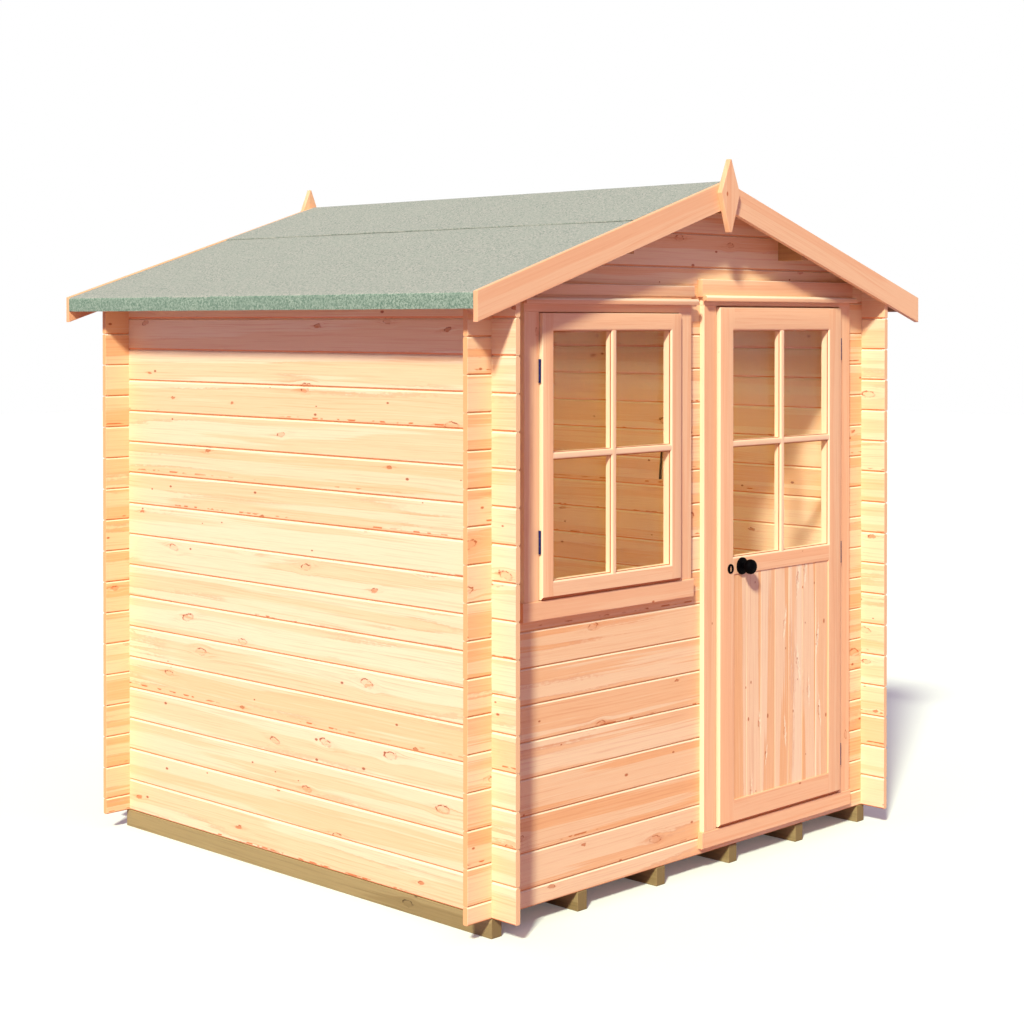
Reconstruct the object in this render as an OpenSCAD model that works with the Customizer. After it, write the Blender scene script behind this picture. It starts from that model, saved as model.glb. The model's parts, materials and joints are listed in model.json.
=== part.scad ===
// Log cabin: a small garden cabin of tongued logs that cross at the corners, with a
// felted ridge roof, a casement window and a half-glazed door that opens outwards.
// Millimetres. +Z is up, the front faces -Y, and the origin is on the ground under the
// middle of the roof.

/* [Cabin] */
// Width over the outer faces of the side walls
cabin_w = 1992; // [1900:4:2400]
// Depth over the outer faces of the front and rear walls
cabin_d = 1932; // [1500:4:2400]
// Thickness of the wall logs
log_t = 20; // [18:1:28]
// Cover height of one log course
course_h = 114.72; // [112:0.04:120]
// Whole courses in a side wall
courses = 17; // [17:1:18]
// How far the log ends run past each corner
log_end = 103; // [80:1:130]
// Depth of the V joint between two logs
joint_d = 3; // [1:0.5:5]
// Height of the V joint between two logs
joint_h = 8; // [4:1:12]

/* [Base] */
// Number of bearers under the cabin
bearer_count = 6; // [4:1:8]
// Width of one bearer
bearer_w = 44; // [34:1:60]
// Height of one bearer
bearer_h = 62; // [40:1:90]
// Thickness of the floor boards
floor_t = 12; // [10:1:25]
// Gap between the floor boards and the walls
floor_gap = 4; // [1:1:10]

/* [Roof] */
// Slope of the roof in degrees
roof_pitch = 18; // [15:1:22]
// Eaves past the side walls, measured level
eaves_over = 180; // [150:2:220]
// Thickness of the roof boards
roof_board_t = 16; // [12:1:22]
// Thickness of one layer of felt
felt_t = 3; // [2:0.5:5]
// Gap between the ridge strip and the felt of the slopes below it
lap_gap = 0.02; // [0.01:0.01:0.1]
// Thickness of the board along each eaves
eaves_board_t = 18; // [12:1:24]
// Height of the felted band at the eaves
eaves_band_h = 50; // [40:1:75]
// Half width of the felt strip over the ridge, measured level
cap_half_w = 450; // [300:5:600]
// Gap under the roof boards, over the walls, purlins and eaves boards
seat_gap = 0.3; // [0.1:0.1:1]
// Width of the roof purlins
purlin_w = 40; // [34:1:60]
// Height of the roof purlins
purlin_h = 85; // [60:1:95]
// Distance of the side purlins from the middle
purlin_x = 473; // [400:1:560]
// Width of the bargeboards
barge_w = 88; // [75:1:105]
// Thickness of the bargeboards
barge_t = 18; // [12:1:25]
// How far the bargeboards' top edge stands above the felt of the slopes
barge_up = 3; // [0:0.5:8]
// Width of a finial at its widest
finial_w = 100; // [80:1:130]
// Width of a finial at its cut lower end
finial_foot_w = 12; // [8:1:40]
// Width of a finial at its tip
finial_tip_w = 5; // [3:1:12]
// Thickness of a finial
finial_t = 20; // [12:1:25]
// Height of a finial above the ridge
finial_up = 76; // [40:1:110]
// Height from a finial's tip down to its widest point
finial_spire_h = 115; // [90:1:150]
// Height from a finial's widest point down to its foot
finial_tail_h = 131; // [90:1:160]

/* [Door] */
// Width of the door leaf
leaf_w = 716; // [680:2:740]
// Height of the door leaf
leaf_h = 1787; // [1700:1:1790]
// Thickness of the door leaf
leaf_t = 34; // [30:1:40]
// How far the door leaf stands out in front of its frame
leaf_proud = 13; // [6:1:20]
// Middle of the door, right of the cabin's middle
door_x = 439; // [400:1:445]
// Clear gap round the door leaf
leaf_gap = 6; // [6:0.5:8]
// Height of the door leaf's lower edge above the bearers
leaf_bottom = 86; // [82:1:105]
// Width of the leaf's stiles
stile_w = 78; // [65:1:95]
// Height of the leaf's top rail
top_rail_h = 82; // [65:1:95]
// Height of the leaf's bottom rail
bottom_rail_h = 82; // [65:1:110]
// Height of the lock rail
lock_rail_h = 62; // [60:1:90]
// Height of the lock rail's lower edge above the leaf's lower edge
lock_rail_z = 864; // [800:1:900]
// Thickness of the boarded panel
panel_t = 14; // [9:1:18]
// How far the boarded panel lies behind the leaf's face
panel_back = 4; // [2:1:10]
// Depth of the bevel round the glass
bevel = 5; // [4:1:12]
// Width of a glazing bar
bar_w = 26; // [26:1:50]
// Thickness of a glazing bar
bar_t = 27; // [18:1:28]
// Thickness of the glass
glass_t = 3; // [2:0.5:4]
// How far the glass is let into the wood round it
glass_let = 6; // [4:1:10]

/* [Window] */
// Width of the window sash
sash_w = 675; // [600:1:690]
// Height of the window sash
sash_h = 893; // [700:1:900]
// Thickness of the window sash
sash_t = 34; // [30:1:40]
// How far the sash stands out in front of its frame
sash_proud = 14; // [6:1:20]
// Middle of the window, left of the cabin's middle
window_x = 467; // [460:1:480]
// Clear gap round the sash
sash_gap = 3; // [2:0.5:5]
// Width of the sash's stiles
sash_stile_w = 54; // [45:1:70]
// Height of the sash's rails
sash_rail_h = 58; // [45:1:70]
// Height of the window frame's head in sight above the sash
window_head_h = 54; // [40:1:60]

/* [Frames] */
// Width in sight of the frame beside the door leaf and the sash
frame_face_w = 66; // [56:1:74]
// Height in sight of the frame above the door leaf
door_head_h = 29; // [26:1:40]
// Thickness of the frame in front of the wall
frame_proud = 20; // [15:1:25]
// Thickness of the frame behind the wall
frame_inside = 15; // [10:1:25]
// How far the frame covers the ends of the logs
frame_lap = 15; // [10:1:20]
// Width of the stop behind the leaf and the sash
stop_w = 14; // [10:1:18]
// Gap between the stop and the back of the leaf and the sash
stop_gap = 5; // [5:0.5:8]
// Gap in the joints of the sash and the leaf, round their bars, glass and panel
joint_gap = 0.2; // [0.1:0.1:0.5]
// Extra width of the sill and the threshold at each end
sill_ears = 9; // [0:1:15]
// How far the sill stands out past the frame
sill_proud = 4; // [1:1:10]
// How far the threshold stands out past the frame
threshold_proud = 1; // [0:0.5:6]
// Height of the sill's face
sill_h = 61; // [50:1:75]
// Height of the threshold's face
threshold_h = 57; // [50:1:70]
// Height of the board over the door
door_header_h = 60; // [45:1:64]
// Height of the board over the window
window_header_h = 36; // [25:1:50]
// How far each board runs past the frame below it
header_ears = 14; // [0:1:20]
// Height of the drip moulding
drip_h = 20; // [14:1:24]
// How far the drip moulding stands out past the boards
drip_out = 24; // [10:1:28]

/* [Hardware] */
// Height of one hinge
hinge_h = 80; // [60:1:100]
// Height of the lowest hinge's middle above the foot of the leaf
hinge_low = 138; // [110:1:200]
// Distance from the top of the leaf down to the middle of the highest hinge
hinge_top = 150; // [110:1:200]
// Diameter of a hinge knuckle
knuckle_d = 9; // [7:0.5:10]
// Diameter of a hinge pin
pin_d = 4; // [3.5:0.5:5]
// Running gap between the pin and its knuckle
pin_gap = 0.05; // [0.02:0.01:0.1]
// Gap between two knuckles
knuckle_gap = 0.5; // [0.3:0.1:1]
// Thickness of a hinge plate
plate_t = 1.5; // [1:0.25:2]
// Gap between a knuckle and the face of the frame behind it
knuckle_off = 1; // [0.3:0.1:1.5]
// Distance from the end of the sash to the middle of the nearest window hinge
sash_hinge_inset = 180; // [120:1:240]
// Height of a window hinge
sash_hinge_h = 74; // [50:1:90]
// Thickness of a window hinge's folded plates
sash_plate_t = 2; // [1:0.25:2.5]
// Diameter of a window hinge's knuckle
sash_knuckle_d = 8; // [6:0.5:10]
// Distance of the knob from the leaf's opening edge
knob_in = 120; // [100:1:150]
// Height of the knob above the leaf's lower edge
knob_z = 890; // [875:1:905]
// Diameter of the knob
knob_d = 52; // [40:1:56]
// Diameter of the knob's rose
rose_d = 60; // [50:1:64]
// Thickness of the knob's rose
rose_t = 8; // [5:0.5:12]
// How far the knob stands out from the leaf
knob_out = 56; // [40:1:60]
// Diameter of the knob's neck
neck_d = 18; // [14:0.5:22]
// Diameter of the knob's spindle
spindle_d = 10; // [8:0.5:12]
// Distance of the keyhole ring from the leaf's opening edge
keyhole_in = 57; // [40:1:62]
// Drop from the knob to the keyhole ring
keyhole_drop = 5; // [0:1:12]
// Outer diameter of the keyhole ring
keyhole_ring_d = 34; // [28:1:40]
// Thickness of the keyhole ring
keyhole_ring_t = 3; // [2:0.5:5]
// Width of the keyhole
keyhole_w = 12; // [8:1:14]
// Height of the keyhole
keyhole_h = 22; // [18:1:24]
// Height of the window stay's plate
stay_h = 90; // [60:1:110]
// Width of the window stay's plate
stay_w = 16; // [12:1:20]
// Thickness of the window stay's plate
stay_t = 3; // [2:0.5:5]
// Width of the window stay's handle
stay_bar_w = 12; // [8:1:14]
// Thickness of the window stay's handle
stay_bar_t = 8; // [5:1:12]
// Length of the window stay's handle
stay_len = 115; // [60:1:130]
// How far the window stay's handle stands off its plate
stay_off = 14; // [8:1:18]
// Distance of the window stay from the sash's opening edge
stay_in = 44; // [40:1:50]

/* [Hidden] */

eps = 0.01;
smooth = 48;

// Levels and faces that the pieces share
base = bearer_h;
half_w = cabin_w / 2;
half_d = cabin_d / 2;
wall_top = base + courses * course_h;
slope = tan(roof_pitch);
steep = 1 / cos(roof_pitch);
roof_half = half_w + eaves_over;
verge = log_end;
board_v = roof_board_t * steep;
felt_v = felt_t * steep;
barge_v = barge_w * steep;
roof_back = half_d + verge;
felt_top = board_v + felt_v;

// Door: the leaf, the frame's aperture and the opening in the logs
leaf_x0 = door_x - leaf_w / 2;
leaf_x1 = door_x + leaf_w / 2;
leaf_z0 = base + leaf_bottom;
leaf_z1 = leaf_z0 + leaf_h;
leaf_face = -half_d - frame_proud - leaf_proud;
leaf_back = leaf_face + leaf_t;
door_ap_x0 = leaf_x0 - leaf_gap;
door_ap_x1 = leaf_x1 + leaf_gap;
door_ap_z0 = leaf_z0 - leaf_gap;
door_ap_z1 = leaf_z1 + leaf_gap;
door_out_x0 = door_ap_x0 - frame_face_w;
door_out_x1 = door_ap_x1 + frame_face_w;
door_out_z1 = door_ap_z1 + door_head_h;
door_cut_x0 = door_out_x0 + frame_lap;
door_cut_x1 = door_out_x1 - frame_lap;
head_z = door_out_z1 - frame_lap;
sill_log_z = base + course_h / 2;

// Window: the sash, the frame's aperture and the opening in the logs
sash_x0 = -window_x - sash_w / 2;
sash_x1 = -window_x + sash_w / 2;
sash_face = -half_d - frame_proud - sash_proud;
sash_back = sash_face + sash_t;
window_out_z1 = head_z + frame_lap;
win_ap_z1 = window_out_z1 - window_head_h;
sash_z1 = win_ap_z1 - sash_gap;
sash_z0 = sash_z1 - sash_h;
win_ap_x0 = sash_x0 - sash_gap;
win_ap_x1 = sash_x1 + sash_gap;
win_ap_z0 = sash_z0 - sash_gap;
win_out_x0 = win_ap_x0 - frame_face_w;
win_out_x1 = win_ap_x1 + frame_face_w;
win_out_z0 = win_ap_z0 - sill_h;
win_cut_x0 = win_out_x0 + frame_lap;
win_cut_x1 = win_out_x1 - frame_lap;
win_cut_z0 = win_out_z0 + frame_lap;

// Planes of the frames, from the front
frame_face = -half_d - frame_proud;
wall_back = -half_d + log_t;
frame_back = wall_back + frame_inside;

// Hinge pins, and the knob
pin_x = leaf_x1 + plate_t + knuckle_d / 2;
pin_y = frame_face - knuckle_off - knuckle_d / 2;
hinge_lowest = leaf_z0 + hinge_low;
hinge_highest = leaf_z1 - hinge_top;
hinge_mids = [hinge_lowest, (hinge_lowest + hinge_highest) / 2, hinge_highest];
knob_x = leaf_x0 + knob_in;
knob_mid_z = leaf_z0 + knob_z;

// Underside of the roof boards at a distance x from the middle, and what carries them there
function under(x) = wall_top + (half_w - abs(x)) * slope;
function seat(x) = under(x) - seat_gap;

// Prism with its outline in X and Z, between two values of Y
module prism_xz(points, y0, y1) {
    translate([0, y1, 0]) rotate([90, 0, 0]) linear_extrude(height = y1 - y0) polygon(points);
}

// Prism with its outline in Y and Z, between two values of X
module prism_yz(points, x0, x1) {
    translate([x0, 0, 0]) rotate([90, 0, 90]) linear_extrude(height = x1 - x0) polygon(points);
}

// Box between two corners
module block(low, high) {
    translate(low) cube(high - low);
}

// Cylinder along Y between two values of Y
module rod_y(x, z, y0, y1, d) {
    translate([x, y1, z]) rotate([90, 0, 0]) cylinder(h = y1 - y0, d = d, $fn = smooth);
}

// Left half of a band that follows the roof, between two heights over its underside
function band(x_in, x_out, low, high) = [
    [-x_in, under(x_in) + low], [-x_in, under(x_in) + high],
    [-x_out, under(x_out) + high], [-x_out, under(x_out) + low]
];

// ---- Log walls ----

// Joints of a wall from z0 to z1; shift is 0 on side walls and 0.5 on front and rear ones
function joints(z0, z1, shift) = [
    for (k = [0 : courses + 4]) let (z = base + (k + shift) * course_h)
    if (k + shift > 0 && z > z0 + eps && z < z1 - eps) z
];
function at_joint(z, shift) =
    let (k = (z - base) / course_h - shift) abs(k - round(k)) * course_h < 1 && z > base + 1;

// One face of the log section, from bottom to top: out is the face and in the V's root
function face(z0, z1, out, in, shift) = concat(
    at_joint(z0, shift) ? [[in, z0], [out, z0 + joint_h / 2]] : [[out, z0]],
    [for (z = joints(z0 + joint_h, z1 - joint_h, shift))
        each [[out, z - joint_h / 2], [in, z], [out, z + joint_h / 2]]],
    at_joint(z1, shift) ? [[out, z1 - joint_h / 2], [in, z1]] : [[out, z1]]
);
function flip(list) = [for (i = [len(list) - 1 : -1 : 0]) list[i]];

// Logs along X at the front, cut back where the side walls' logs cross them
module front_logs(x0, x1, z0, z1) {
    outer = face(z0, z1, -half_d, -half_d + joint_d, 0.5);
    inner = face(z0, z1, wall_back, wall_back - joint_d, 0.5);
    difference() {
        prism_yz(concat(outer, flip(inner)), x0, x1);
        for (side = [-1, 1], k = [0 : courses - 1]) {
            low = base + (k + 0.25) * course_h;
            near = (side < 0) ? -half_w : half_w - log_t;
            crosses = x0 < near && x1 > near && z0 < low + course_h / 2 && z1 > low;
            if (crosses)
                block([near, -half_d - 1, low], [near + log_t, wall_back + 1, low + course_h / 2]);
        }
    }
}

// Space under the roof boards, as wide as the log ends
module under_roof(y0, y1) {
    x_end = half_w + log_end + 1;
    prism_xz([
        [-x_end, base - 1], [-x_end, seat(x_end)], [0, seat(0)],
        [x_end, seat(x_end)], [x_end, base - 1]
    ], y0, y1);
}

// Seats of the three purlins in a gable, open at the top
module purlin_seats(y0, y1) {
    w = purlin_w / 2;
    top = under(0) + purlin_h;
    block([-w, y0, seat(0) - purlin_h], [w, y1, top]);
    for (side = [-1, 1])
        block([side * purlin_x - w, y0, seat(purlin_x - w) - purlin_h],
            [side * purlin_x + w, y1, top]);
}

// Side wall on the left: its top is bevelled to the roof's slope
module side_wall() {
    x_out = -half_w;
    x_in = -half_w + log_t;
    outer = face(base, wall_top - joint_h, x_out, x_out + joint_d, 0);
    inner = face(base, wall_top - joint_h, x_in, x_in - joint_d, 0);
    profile = concat(outer, [[x_out, seat(x_out)], [x_in, seat(x_in)]], flip(inner));
    difference() {
        prism_xz(profile, -half_d - log_end, half_d + log_end);
        for (side = [0, 1]) mirror([0, side, 0])
            for (k = [0 : courses]) {
                low = (k == 0) ? base - 1 : base + (k - 0.25) * course_h;
                high = (k == courses) ? under(x_in) + 1 : base + (k + 0.25) * course_h;
                block([x_out - 1, -half_d, low], [x_in + 1, wall_back, high]);
            }
    }
}

module left_wall() { color("navajowhite") side_wall(); }
module right_wall() { color("navajowhite") mirror([1, 0, 0]) side_wall(); }

module rear_wall() {
    x_end = half_w + log_end;
    color("navajowhite") mirror([0, 1, 0]) difference() {
        intersection() {
            front_logs(-x_end, x_end, base, under(0) + 1);
            under_roof(-half_d - 1, wall_back + 1);
        }
        purlin_seats(-half_d - 1, wall_back + 1);
    }
}

module front_sill_log() {
    color("navajowhite") front_logs(-half_w - log_end, half_w + log_end, base, sill_log_z);
}

module front_wall_under_window() {
    color("navajowhite") front_logs(-half_w - log_end, door_cut_x0, sill_log_z, win_cut_z0);
}

module front_wall_left_of_window() {
    color("navajowhite") front_logs(-half_w - log_end, win_cut_x0, win_cut_z0, head_z);
}

module front_wall_between() {
    color("navajowhite") front_logs(win_cut_x1, door_cut_x0, win_cut_z0, head_z);
}

module front_wall_right_of_door() {
    color("navajowhite") front_logs(door_cut_x1, half_w + log_end, sill_log_z, head_z);
}

module front_gable() {
    x_end = half_w + log_end;
    color("navajowhite") difference() {
        intersection() {
            front_logs(-x_end, x_end, head_z, under(0) + 1);
            under_roof(-half_d - 1, wall_back + 1);
        }
        purlin_seats(-half_d - 1, wall_back + 1);
    }
}

// ---- Base ----

// Bearer number i of bearer_count, from the left; the outer ones lie under the side walls
module bearer(i) {
    pitch = (cabin_w - bearer_w) / (bearer_count - 1);
    x0 = -half_w + (i - 1) * pitch;
    if (i <= bearer_count)
        color("darkkhaki") block([x0, -half_d, 0], [x0 + bearer_w, half_d, bearer_h]);
}

module floor() {
    x = half_w - log_t - floor_gap;
    y = half_d - log_t - floor_gap;
    color("burlywood") block([-x, -y, base], [x, y, base + floor_t]);
}

// ---- Roof ----

function ridge_purlin_outline() =
    let (w = purlin_w / 2, foot = seat(0) - purlin_h)
    [[-w, foot], [-w, seat(w)], [0, seat(0)], [w, seat(w)], [w, foot]];
function side_purlin_outline() =
    let (near = purlin_x - purlin_w / 2, far = purlin_x + purlin_w / 2)
    [[-far, seat(near) - purlin_h], [-far, seat(far)], [-near, seat(near)],
     [-near, seat(near) - purlin_h]];

module ridge_purlin() {
    color("peru") prism_xz(ridge_purlin_outline(), -roof_back, roof_back);
}

module left_purlin() {
    color("peru") prism_xz(side_purlin_outline(), -roof_back, roof_back);
}

module right_purlin() {
    color("peru") mirror([1, 0, 0]) prism_xz(side_purlin_outline(), -roof_back, roof_back);
}

module left_roof_boards() {
    color("tan") prism_xz(band(0, roof_half - felt_t, 0, board_v), -roof_back, roof_back);
}

module right_roof_boards() {
    color("tan") mirror([1, 0, 0])
        prism_xz(band(0, roof_half - felt_t, 0, board_v), -roof_back, roof_back);
}

// Board under the edge of the roof boards, which the felt is turned down over
module eaves_board() {
    far = roof_half - felt_t;
    near = far - eaves_board_t;
    foot = under(roof_half) + felt_top - eaves_band_h;
    prism_xz([[-far, foot], [-far, seat(far)], [-near, seat(near)], [-near, foot]],
        -roof_back, roof_back);
}

module left_eaves_board() { color("sandybrown") eaves_board(); }
module right_eaves_board() { color("sandybrown") mirror([1, 0, 0]) eaves_board(); }

// Felt over one slope, turned down over the eaves board
module felt() {
    inside = roof_half - felt_t;
    foot = under(roof_half) + felt_top - eaves_band_h;
    prism_xz([
        [0, under(0) + board_v], [0, under(0) + felt_top],
        [-roof_half, under(roof_half) + felt_top], [-roof_half, foot],
        [-inside, foot], [-inside, under(inside) + board_v]
    ], -roof_back, roof_back);
}

module left_felt() { color("darkseagreen") felt(); }
module right_felt() { color("darkseagreen") mirror([1, 0, 0]) felt(); }

module ridge_felt() {
    low = felt_top + lap_gap;
    high = low + felt_v;
    color("darkseagreen") prism_xz([
        [-cap_half_w, under(cap_half_w) + low], [-cap_half_w, under(cap_half_w) + high],
        [0, under(0) + high],
        [cap_half_w, under(cap_half_w) + high], [cap_half_w, under(cap_half_w) + low],
        [0, under(0) + low]
    ], -roof_back, roof_back);
}

// Bargeboard on the left of the front; its ends are cut plumb
module bargeboard() {
    high = felt_top + barge_up;
    prism_xz(band(0, roof_half, high - barge_v, high), -roof_back - barge_t, -roof_back);
}

module left_front_bargeboard() { color("lightsalmon") bargeboard(); }
module right_front_bargeboard() { color("lightsalmon") mirror([1, 0, 0]) bargeboard(); }
module left_rear_bargeboard() { color("lightsalmon") mirror([0, 1, 0]) bargeboard(); }
module right_rear_bargeboard() {
    color("lightsalmon") mirror([1, 0, 0]) mirror([0, 1, 0]) bargeboard();
}

module finial() {
    tip = under(0) + felt_top + finial_up;
    wide = tip - finial_spire_h;
    foot = wide - finial_tail_h;
    face_y = -roof_back - barge_t;
    prism_xz([
        [-finial_tip_w / 2, tip], [finial_tip_w / 2, tip], [finial_w / 2, wide],
        [finial_foot_w / 2, foot], [-finial_foot_w / 2, foot], [-finial_w / 2, wide]
    ], face_y - finial_t, face_y);
}

module front_finial() { color("lightsalmon") finial(); }
module rear_finial() { color("lightsalmon") mirror([0, 1, 0]) finial(); }

// ---- Frames ----

// Three sides of a frame, between two planes: its foot is open
module arch(out_x0, out_x1, out_z1, in_x0, in_x1, in_z1, foot, y0, y1) {
    prism_xz([
        [out_x0, foot], [out_x0, out_z1], [out_x1, out_z1], [out_x1, foot],
        [in_x1, foot], [in_x1, in_z1], [in_x0, in_z1], [in_x0, foot]
    ], y0, y1);
}

// Frame that laps over the cut ends of the logs, with a stop behind the leaf or the sash
module lapped_frame(out_x0, out_x1, out_z1, ap_x0, ap_x1, ap_z1, foot, stop_y) {
    stop = stop_w;
    lap = frame_lap;
    arch(out_x0, out_x1, out_z1, ap_x0, ap_x1, ap_z1, foot, frame_face, -half_d);
    arch(out_x0 + lap, out_x1 - lap, out_z1 - lap, ap_x0, ap_x1, ap_z1, foot,
        -half_d, stop_y);
    arch(out_x0 + lap, out_x1 - lap, out_z1 - lap, ap_x0 + stop, ap_x1 - stop,
        ap_z1 - stop, foot, stop_y, wall_back);
    arch(out_x0, out_x1, out_z1, ap_x0 + stop, ap_x1 - stop, ap_z1 - stop, foot,
        wall_back, frame_back);
}

module door_frame() {
    color("peachpuff") lapped_frame(door_out_x0, door_out_x1, door_out_z1,
        door_ap_x0, door_ap_x1, door_ap_z1, door_ap_z0, leaf_back + stop_gap);
}

// Threshold on the sill log, lapped down over its face
module threshold() {
    foot = door_ap_z0 - threshold_h;
    x0 = door_out_x0 - sill_ears;
    x1 = door_out_x1 + sill_ears;
    lap = frame_lap + sill_ears;
    color("peachpuff") {
        block([x0, frame_face - threshold_proud, foot], [x1, -half_d, door_ap_z0]);
        block([x0 + lap, -half_d, sill_log_z], [x1 - lap, wall_back, door_ap_z0]);
        block([x0 + lap, wall_back, base + floor_t], [x1 - lap, frame_back, door_ap_z0]);
    }
}

// Board and drip moulding over a frame: the moulding's upper edge is rounded
module header(x0, x1, foot, board_h, drip_foot) {
    block([x0 - header_ears, frame_face, foot], [x1 + header_ears, -half_d, foot + board_h]);
    r = drip_out / 2;
    drip_x0 = x0 - header_ears;
    drip_x1 = x1 + header_ears;
    block([drip_x0, frame_face - drip_out, drip_foot],
        [drip_x1, frame_face, drip_foot + drip_h - r]);
    block([drip_x0, frame_face - drip_out + r, drip_foot],
        [drip_x1, frame_face, drip_foot + drip_h]);
    translate([drip_x0, frame_face - drip_out + r, drip_foot + drip_h - r])
        rotate([0, 90, 0]) cylinder(h = drip_x1 - drip_x0, r = r, $fn = smooth);
}

module door_header() {
    color("peachpuff") header(door_out_x0, door_out_x1, door_out_z1, door_header_h,
        door_out_z1 - drip_h / 2);
}

module window_frame() {
    color("peachpuff") lapped_frame(win_out_x0, win_out_x1, window_out_z1,
        win_ap_x0, win_ap_x1, win_ap_z1, win_ap_z0, sash_back + stop_gap);
}

module window_sill() {
    x0 = win_out_x0 - sill_ears;
    x1 = win_out_x1 + sill_ears;
    lap = frame_lap + sill_ears;
    color("peachpuff") {
        block([x0, frame_face - sill_proud, win_out_z0], [x1, -half_d, win_ap_z0]);
        block([x0 + lap, -half_d, win_cut_z0], [x1 - lap, wall_back, win_ap_z0]);
        block([x0, wall_back, win_out_z0], [x1, frame_back, win_ap_z0]);
    }
}

module window_header() {
    color("peachpuff") header(win_out_x0, win_out_x1, window_out_z1, window_header_h,
        window_out_z1 - drip_h - frame_lap / 4);
}

// ---- Joinery of the sash and the leaf ----

// Cut through a stile or rail for a pane, bevelled towards the front
module pane_cut(x0, x1, z0, z1, face_y, back_y) {
    block([x0, face_y - 1, z0], [x1, back_y + 1, z1]);
    for (end = [[x0, -1], [x1, 1]])
        prism_xy([[end[0], face_y + bevel], [end[0] + end[1] * bevel, face_y],
            [end[0] + end[1] * bevel, face_y - 1], [end[0], face_y - 1]],
            z0 - bevel, z1 + bevel);
    for (end = [[z0, -1], [z1, 1]])
        prism_yz([[face_y + bevel, end[0]], [face_y, end[0] + end[1] * bevel],
            [face_y - 1, end[0] + end[1] * bevel], [face_y - 1, end[0]]],
            x0 - bevel, x1 + bevel);
}

// Prism with its outline in X and Y, between two values of Z
module prism_xy(points, z0, z1) {
    translate([0, 0, z0]) linear_extrude(height = z1 - z0) polygon(points);
}

// Sheet from y0 to y1 that is let into grooves round a pane; more is the groove's gap
module let_in(x0, x1, z0, z1, y0, y1, more) {
    let_d = glass_let + more;
    block([x0 - let_d, y0 - more, z0 - let_d], [x1 + let_d, y1 + more, z1 + let_d]);
}

// Cross of glazing bars in front of the glass, with bevelled front edges
module bar_cross(x0, x1, z0, z1, face_y, glass_y) {
    xm = (x0 + x1) / 2;
    zm = (z0 + z1) / 2;
    w = bar_w / 2;
    f = w - bevel;
    g = joint_gap;
    y0 = glass_y - bar_t;
    y1 = glass_y - g;
    prism_xy([[xm - w, y1], [xm + w, y1], [xm + w, y0 + bevel], [xm + f, y0],
        [xm - f, y0], [xm - w, y0 + bevel]], z0 + g, z1 - g);
    prism_yz([[y1, zm - w], [y1, zm + w], [y0 + bevel, zm + w], [y0, zm + f],
        [y0, zm - f], [y0 + bevel, zm - w]], x0 + g, x1 - g);
}

// Window sash: a ring with a groove for the glass
sash_glass_y = sash_face + bevel + bar_t - 4;
sp_x0 = sash_x0 + sash_stile_w;
sp_x1 = sash_x1 - sash_stile_w;
sp_z0 = sash_z0 + sash_rail_h;
sp_z1 = sash_z1 - sash_rail_h;

module sash_glass(more) {
    let_in(sp_x0, sp_x1, sp_z0, sp_z1, sash_glass_y, sash_glass_y + glass_t, more);
}

module window_sash() {
    color("lightsalmon") difference() {
        block([sash_x0, sash_face, sash_z0], [sash_x1, sash_back, sash_z1]);
        pane_cut(sp_x0, sp_x1, sp_z0, sp_z1, sash_face, sash_back);
        sash_glass(joint_gap);
    }
}

module window_bars() {
    color("lightsalmon") bar_cross(sp_x0, sp_x1, sp_z0, sp_z1, sash_face, sash_glass_y);
}

module window_glass() {
    color("lightblue") sash_glass(0);
}

// Two butt hinges at the sash's left edge, closed; their knuckles lie on the frame's face
module window_hinges() {
    x = sash_x0 - sash_gap / 2;
    r = sash_knuckle_d / 2;
    knuckle_x = sash_x0 - r - joint_gap;
    knuckle_y = frame_face - r - joint_gap;
    color("slategray")
        for (z = [sash_z0 + sash_hinge_inset, sash_z1 - sash_hinge_inset]) {
            translate([knuckle_x, knuckle_y, z - sash_hinge_h / 2])
                cylinder(h = sash_hinge_h, r = r, $fn = smooth);
            block([x - sash_plate_t / 2, knuckle_y, z - sash_hinge_h / 2],
                [x + sash_plate_t / 2, sash_face + sash_t / 2, z + sash_hinge_h / 2]);
        }
}

// Casement fastener on the inside of the sash's right stile
module window_stay() {
    x = sash_x1 - stay_in;
    z = (sash_z0 + sash_z1) / 2;
    w = stay_bar_w / 2;
    plate_y = sash_back + stay_t;
    bar_y = plate_y + stay_off;
    color("black") {
        block([x - stay_w / 2, sash_back, z - stay_h / 2],
            [x + stay_w / 2, plate_y, z + stay_h / 2]);
        block([x - w, plate_y, z - w], [x + w, bar_y, z + w]);
        block([x - w, bar_y, z - stay_len + w], [x + w, bar_y + stay_bar_t, z + w]);
    }
}

// ---- Door ----

door_glass_y = leaf_face + bevel + bar_t - 4;
lp_x0 = leaf_x0 + stile_w;
lp_x1 = leaf_x1 - stile_w;
rail_z0 = leaf_z0 + lock_rail_z;
rail_z1 = rail_z0 + lock_rail_h;
lp_z1 = leaf_z1 - top_rail_h;
panel_z0 = leaf_z0 + bottom_rail_h;
panel_y0 = leaf_face + panel_back;

module leaf_panel(more) {
    let_in(lp_x0, lp_x1, panel_z0, rail_z0, panel_y0, panel_y0 + panel_t, more);
}

module leaf_glass(more) {
    let_in(lp_x0, lp_x1, rail_z1, lp_z1, door_glass_y, door_glass_y + glass_t, more);
}

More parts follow.
